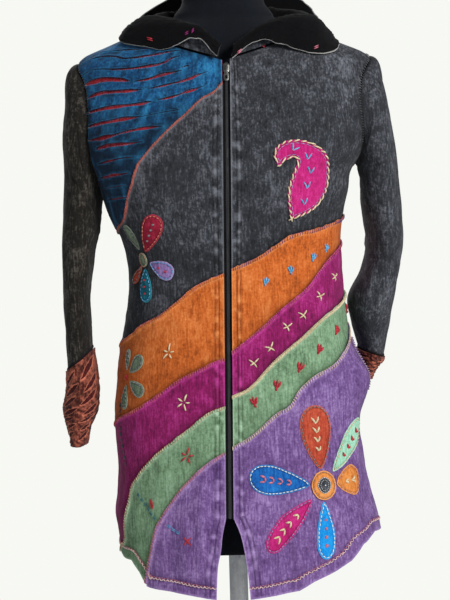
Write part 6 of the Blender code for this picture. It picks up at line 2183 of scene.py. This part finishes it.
def embroidery():
    for x, y, turn in ((265.5, 281.5, 8), (290.5, 270, -6), (312.5, 257, 10), (326, 248, 16)):
        spray("sky", seen(x, y), turn, 1.10)
    for angle, height, turn in ((13.8, 0.915, 8), (24.5, 0.935, -14), (35.8, 0.963, 20), (45.5, 0.978, 4),
                                (56.8, 1.003, 30), (68.5, 1.028, 16)):
        fly("cream", (angle, height), turn, 1.45)
    for angle, height, turn in ((12.8, 0.860, -14), (27, 0.882, 10), (41, 0.905, 24), (53, 0.928, 30),
                                (66, 0.952, 36), (86, 0.979, 20)):
        spray("red", (angle, height), turn, 1.35)
        mark("red", vee(0.0070, 0.0040, (0.0004, 0.0012)), (angle, height), turn, 0.0013, 0.0007)
    for batch, arms, inner, start, at, thick in (
            ("cream", (13, 8, 9, 12, 8), 0.0020, 6, (-40.5, 0.930), 0.00125),
            ("cream", (12, 9, 12, 11, 10), 0.0024, 20, (-31.0, 0.861), 0.00135),
            ("red", (12, 10, 11, 12, 9), 0.0016, 12, (-29.0, 0.787), 0.00135)):
        mark(batch, star(arms, inner, start), at, 0, 0.0012, thick)
    mark("red", [((-0.0012, 0.0080), (0.0002, -0.0070)), ((0.0008, 0.0084), (0.0018, -0.0064)),
                 ((0.0022, 0.0050), (0.0030, -0.0050))], (-49.5, 0.717), -14, 0.0012, 0.0008)
    mark("red", [((-0.0052, 0.0052), (0.0052, -0.0052)), ((0.0052, 0.0052), (-0.0052, -0.0052)),
                 ((-0.0044, 0.0056), (0.0056, -0.0044)), ((0.0044, 0.0056), (-0.0056, -0.0044))],
         (-28.0, 0.669), 0, 0.0012, 0.0009)
    stems = (("slate", ((-71.8, 0.855), (-73.2, 0.825), (-71.5, 0.804), (-67.2, 0.759))),
             ("teal", ((-58.5, 0.730), (-53.0, 0.716), (-48.5, 0.703), (-44.2, 0.694))),
             ("sky", ((-40.2, 0.690), (-36.0, 0.683), (-31.2, 0.678))))
    for batch, places in stems:
        curve = evenly(flat(places), 0.001)[0]
        starts, ends = dashes(curve, 0.0062, 0.0022)
        side = left_normal(np.array([curve[0], curve[-1]]))[0] * 0.0011
        for shift in (-1, 1):
            sew_on((batch, "marks"), on_body, starts + side * shift, ends + side * shift, 0.0012, 0.0007)


# Pocket mouth


def pocket():
    """The pocket's mouth: a folded welt with pale stitches, standing open on the wearer's left front."""
    patch("pocket_welt", flat(POCKET_WELT), "purple", "purple_cloth", rests_on=("front_left_purple_cloth",),
          seed=210, pillow=0.0016)
    heights = np.linspace(0.936, 0.862, 40)
    edge = spline([(0.862, 83.2), (0.900, 81.8), (0.918, 82.2), (0.936, 83.6)], 1)
    line = flat(np.stack([edge(heights), heights], 1))
    overlock(("lilac", "pocket"), on_body, line, -0.0004, 0.0042, 0.0036, 0.0022, 0.0030, 0.0010, seed=214)
    overlock(("cream", "pocket"), on_body, line, -0.0030, 0.0006, 0.0024, 0.0010, 0.0026, 0.0004, seed=216)


# Zip


def zip_path(offset, heights):
    x = zip_x(heights) + offset
    return flat(np.stack([np.degrees(np.arctan2(x, FRONT(heights))), heights], 1))


def front_zip():
    heights = np.linspace(ZIP_TOP - 0.002, ZIP_FOOT, 320)
    woven = {"place": body, "wave": 0.0, "worn": 0.0, "held": "hung"}
    for side in ("right", "left"):
        strip("zip_tape_" + side + "_woven", zip_path(SIDE[side] * 0.0077, heights),
              (0.0070, 0.0040, 0.0, -0.0040, -0.0070), (-0.0019, -0.0018, -0.0018, -0.0018, -0.0019), 0.0009,
              TAPE, "zip_tape", seed=220, rests_on=("front_" + side + "_purple_cloth",),
              replaces=("zip_tape_" + side,), **woven)
    strip("zip_coil_core", zip_path(0.0, heights), (0.0019, 0.0008, -0.0008, -0.0019),
          (-0.0008, -0.0003, -0.0003, -0.0008), 0.0007, COIL, "zip_tape", seed=224,
          rests_on=("zip_tape_left_woven",), replaces=("zip_coil",), **woven)
    for side, shift in ((1, 0.0), (-1, 0.5)):
        count = int((ZIP_TOP - ZIP_FOOT - 0.004) / TOOTH_PITCH)
        level = ZIP_TOP - 0.003 - TOOTH_PITCH * (np.arange(count) + shift)
        start, end = zip_path(side * 0.0026, level), zip_path(-side * 0.0006, level)
        sew_on(("coil", "zip"), body, start, end, -0.0002, 0.00052)


def in_slider_frame(points, level):
    origin, across, up, out = slider_frame()
    return origin + points[:, :1] * across + points[:, 1:] * up + np.asarray(level).reshape(-1, 1) * out


def cast(name, outline, holes, low, high, crown, body_name, node):
    """A small cast piece in the slider's frame, its face a little crowned."""
    loop = anticlockwise(outline)
    points, faces = filled(loop, holes, CAST_CELL, [])
    rise = crown * (1 - bell(measured(points, closed(loop))[0], 0.0012))
    piece, _ = shell(name, points, faces, in_slider_frame, high + rise, np.full(len(points), low), STEEL)
    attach(piece, body_name)
    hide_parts(node)


def rounded(outline, radius, steps=5):
    """An outline with its corners turned to arcs."""
    outline = np.asarray(outline, float)
    points = []
    for before, here, after in zip(np.roll(outline, 1, 0), outline, np.roll(outline, -1, 0)):
        a, b = before - here, after - here
        r = min(radius, np.linalg.norm(a) * 0.45, np.linalg.norm(b) * 0.45)
        start, end = here + a / np.linalg.norm(a) * r, here + b / np.linalg.norm(b) * r
        for t in np.linspace(0, 1, steps):
            points.append((1 - t) ** 2 * start + 2 * t * (1 - t) * here + t * t * end)
    return np.array(points)


def slider():
    body_outline = [(-0.0035, -0.0065), (0.0035, -0.0065), (0.0045, 0.0), (0.0045, 0.0050),
                    (0.0025, 0.0070), (-0.0025, 0.0070), (-0.0045, 0.0050), (-0.0045, 0.0)]
    cast("zip_slider_body", rounded(body_outline, 0.0016), [], 0.0009, SLIDER_OUT - 0.0008, 0.0008, COAT,
         "zip_slider")
    pull_outline = [(-0.0020, PULL_AXIS_UP + 0.0007), (-0.0020, -0.0060), (-0.0036, -0.0105),
                    (-0.0038, -0.0165), (-0.0022, -0.0200), (0.0022, -0.0200), (0.0038, -0.0165),
                    (0.0036, -0.0105), (0.0020, -0.0060), (0.0020, PULL_AXIS_UP + 0.0007)]
    hole = oval(0.0018, 0.0028, (0, -0.0145), 24)
    cast("zip_pull_tab", rounded(pull_outline, 0.0018), [hole], PULL_OUT - 0.0005, PULL_OUT + 0.0002, 0.0003,
         PULL, "zip_pull")


# Form and stand


def lathe(name, rings, finish, node):
    """A closed skin over rings of points, from the lowest to the highest."""
    around = len(rings[0])
    points = np.concatenate(rings)
    index = np.arange(len(points)).reshape(-1, around)
    ahead = np.roll(index, -1, 1)
    quads = np.stack(cells(wrapped(index)), 1)
    middle = np.array([rings[0].mean(0), rings[-1].mean(0)])
    low, high = len(points), len(points) + 1
    caps = np.concatenate([np.stack([np.full(around, low), ahead[0], index[0]], 1),
                           np.stack([np.full(around, high), index[-1], ahead[-1]], 1)])
    a = np.tile(np.arange(around) / around, len(rings))
    uv = np.stack([a * 1.1, points[:, 2]], 1)
    piece = mesh_of(name, np.concatenate([points, middle]), [quads, caps], finish,
                    np.concatenate([uv, [[0, 0], [0, 0]]]))
    outward(piece)
    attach(piece, COAT)
    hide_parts(node)


def form(around=128):
    """The torso, its lower edge rounded, and over it the neck with its low domed cap."""
    turns = np.arange(around) * 360.0 / around
    a = np.radians(turns)
    tuck = FORM_FRONT_INSET * np.clip(np.cos(a), 0, 1) ** 2
    rows = []
    for height in np.linspace(FORM_BOTTOM, NECK_FROM, 110):
        r = reach(turns, height) - form_inset(height) - tuck
        rows.append((height, r * np.sin(a), -r * np.cos(a)))
    _, x, y = rows[0]
    foot = [(FORM_BOTTOM + up, x * k, y * k) for up, k in ((0.0, 0.985), (0.0010, 0.996))]
    lifted = [(h + 0.004 * math.exp(-(h - FORM_BOTTOM) / 0.004), x, y) for h, x, y in rows[:3]]
    rows = [*foot, *lifted, *rows[3:]]
    _, x, y = rows[-1]
    for height in np.linspace(NECK_FROM + 0.004, CAP_FROM, 26):
        wide, deep = (np.interp(height, NECK[:, 0], NECK[:, column]) for column in (1, 2))
        share = eased(np.clip((height - NECK_FROM) / 0.025, 0, 1))
        rows.append((height, (1 - share) * x + share * wide * np.sin(a),
                     (1 - share) * y + share * (NECK_MIDDLE_Y - deep * np.cos(a))))
    _, x, y = rows[-1]
    for turn in np.radians(np.linspace(10, 90, 9)):
        k = 0.25 + 0.75 * math.cos(turn)
        rows.append((CAP_FROM + CAP_TALL * math.sin(turn), x * k, NECK_MIDDLE_Y + (y - NECK_MIDDLE_Y) * k))
    rings = [np.stack([x, y, np.full(around, float(height))], 1) for height, x, y in rows]
    lathe("dress_form", rings, COVER, "form_torso")


def turned_rings(profile, around):
    a = np.arange(around) * 2 * math.pi / around
    return [np.stack([r * np.cos(a), r * np.sin(a), np.full(around, z)], 1) for r, z in profile]


def arc(r, z, radius, start, end, steps=5):
    return [(r + radius * math.cos(math.radians(t)), z + radius * math.sin(math.radians(t)))
            for t in np.linspace(start, end, steps)]


def stand():
    thick, collar_top, rim = 0.008, 0.050, 0.170
    base = [(0.02, 0.0), (rim - 0.0012, 0.0), *arc(rim - 0.0015, 0.0015, 0.0015, -70, 0, 4),
            *arc(rim - 0.003, thick - 0.003, 0.003, 0, 90), (0.100, thick), (0.030, thick),
            *arc(0.028, thick + 0.004, 0.004, 270, 180), (0.024, collar_top - 0.010),
            *arc(0.022, collar_top - 0.002, 0.002, 0, 90, 4), (0.016, collar_top)]
    lathe("stand_base_plate", turned_rings(base, 96), LACQUER, "stand_base")
    top = 0.640 - 0.0003
    pole = [(0.0128, collar_top + 0.0003), (0.0135, collar_top + 0.0012)]
    pole += [(0.0135, z) for z in np.linspace(0.06, 0.63, 12)] + [(0.0135, top - 0.001), (0.0130, top)]
    lathe("stand_pole_tube", turned_rings(pole, 48), CHROME, "stand_pole")


# Picture


WORLD_FILL = 0.30
FLOOR_RADIUS = 2.1
# name, place, what it faces, size, power
LIGHTS = (
    ("key", (1.8, -2.5, 2.3), (0.0, 0.0, 1.05), 0.9, 105),
    ("fill", (-1.9, -2.4, 1.3), (0.0, 0.0, 1.0), 2.0, 10),
    ("back", (-0.6, 2.4, 2.4), (0.0, 0.0, 1.0), 1.8, 45),
)


def light(name, at, aim, size, power):
    data = bpy.data.lights.new(name, "AREA")
    data.shape, data.size, data.energy = "DISK", size, power
    lamp = bpy.data.objects.new(name, data)
    bpy.context.collection.objects.link(lamp)
    lamp.location = at
    lamp.rotation_euler = (Vector(aim) - Vector(at)).to_track_quat("-Z", "Y").to_euler()


def studio():
    world = bpy.data.worlds.new("studio")
    world.use_nodes = True
    tree = world.node_tree
    back = tree.nodes["Background"]
    back.inputs["Color"].default_value = srgb(247, 248, 243)
    back.inputs["Strength"].default_value = 1.0
    bpy.context.scene.world = world
    soft = add_node(tree, "ShaderNodeBackground", {"Color": (0.90, 0.95, 1.0, 1), "Strength": WORLD_FILL})
    seen_ray = add_node(tree, "ShaderNodeLightPath").outputs["Is Camera Ray"]
    both = add_node(tree, "ShaderNodeMixShader", {0: seen_ray, 1: soft.outputs[0], 2: back.outputs[0]})
    tree.links.new(both.outputs[0], tree.nodes["World Output"].inputs["Surface"])
    for lamp in LIGHTS:
        light(*lamp)
    floor = bpy.data.meshes.new("studio_floor")
    ring = [(FLOOR_RADIUS * math.cos(t), FLOOR_RADIUS * math.sin(t), -0.0004)
            for t in np.arange(64) * 2 * math.pi / 64]
    floor.from_pydata(ring, [], [tuple(range(64))])
    plate = bpy.data.objects.new("studio_floor", floor)
    bpy.context.collection.objects.link(plate)
    made, tree, shader = blank("studio floor", Roughness=0.8)
    tone = sums(tree, "MULTIPLY_ADD", object_noise(tree, 3.0), 0.02, 0.80)
    shade = add_node(tree, "ShaderNodeCombineColor", {0: tone, 1: tone, 2: tone})
    tree.links.new(shade.outputs[0], shader.inputs["Base Color"])
    floor.materials.append(made)
    plate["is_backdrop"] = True


def camera():
    data = bpy.data.cameras.new("photo view")
    data.sensor_fit, data.sensor_height = "VERTICAL", SENSOR_HIGH
    data.lens = SENSOR_HIGH * FOCAL / PHOTO_HIGH
    data.clip_start, data.clip_end = 0.05, 50
    made = bpy.data.objects.new("photo view", data)
    bpy.context.collection.objects.link(made)
    tilt = Euler((math.pi / 2 - CAMERA_DOWN, 0, 0)).to_matrix().to_4x4()
    roll = Matrix.Rotation(-CAMERA_ROLL, 4, "Z")
    made.matrix_world = Matrix.Translation(CAMERA_AT) @ tilt @ roll
    bpy.context.scene.camera = made
    bpy.context.scene.view_settings.view_transform = "Standard"


# The name and the slot of each batch of threads, by what it holds
HOLDS_NAME = {
    # The black fray batch holds painted shadow lines under the yoke's tears
    "seams": "seam_overlock", "fray": "frayed_fibres_and_painted_shadow_lines", "hem": "hem_stitching", "placket": "placket_topstitch",
    "cuffs": "cuff_seam", "armholes": "armhole_stitching", "patches": "patch_edging", "marks": "embroidery",
    "pocket": "pocket_stitching", "zip": "zip_teeth", "rim": "hood_rim_overlock", "hood": "hood_knots",
}
SLOT_OF = {"zip": "zip_tape", "fray": "blue_cloth", "cuffs": "rust_cloth", "pocket": "purple_cloth"}


def threads():
    for batch in sorted(SEWN):
        name = f"{HOLDS_NAME[batch[1]]}_{batch[0]}"
        fine = batch[1] in ("fray", "placket")
        sewn_piece(name, batch, arch=1.0 if batch[1] == "zip" else 1.3, sides=3 if fine else 5,
                   bends=3 if fine else 4, slot=SLOT_OF.get(batch[1], "charcoal_cloth"))


def build():
    camera()
    studio()
    fronts()
    yoke()
    back()
    sleeve("right")
    sleeve("left")
    hood()
    raw_seams()
    hems()
    plackets()
    big_flower()
    small_flower()
    green_flower()
    paisley()
    embroidery()
    pocket()
    front_zip()
    slider()
    form()
    stand()
    threads()


build()
bpy.context.view_layer.update()
({"cad": [list(corner) for corner in CAD_BOX], "scene": [list(corner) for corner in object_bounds()],
           "cuts": {name: [round(v, 4) for v in values] for name, values in CUT.items()}})
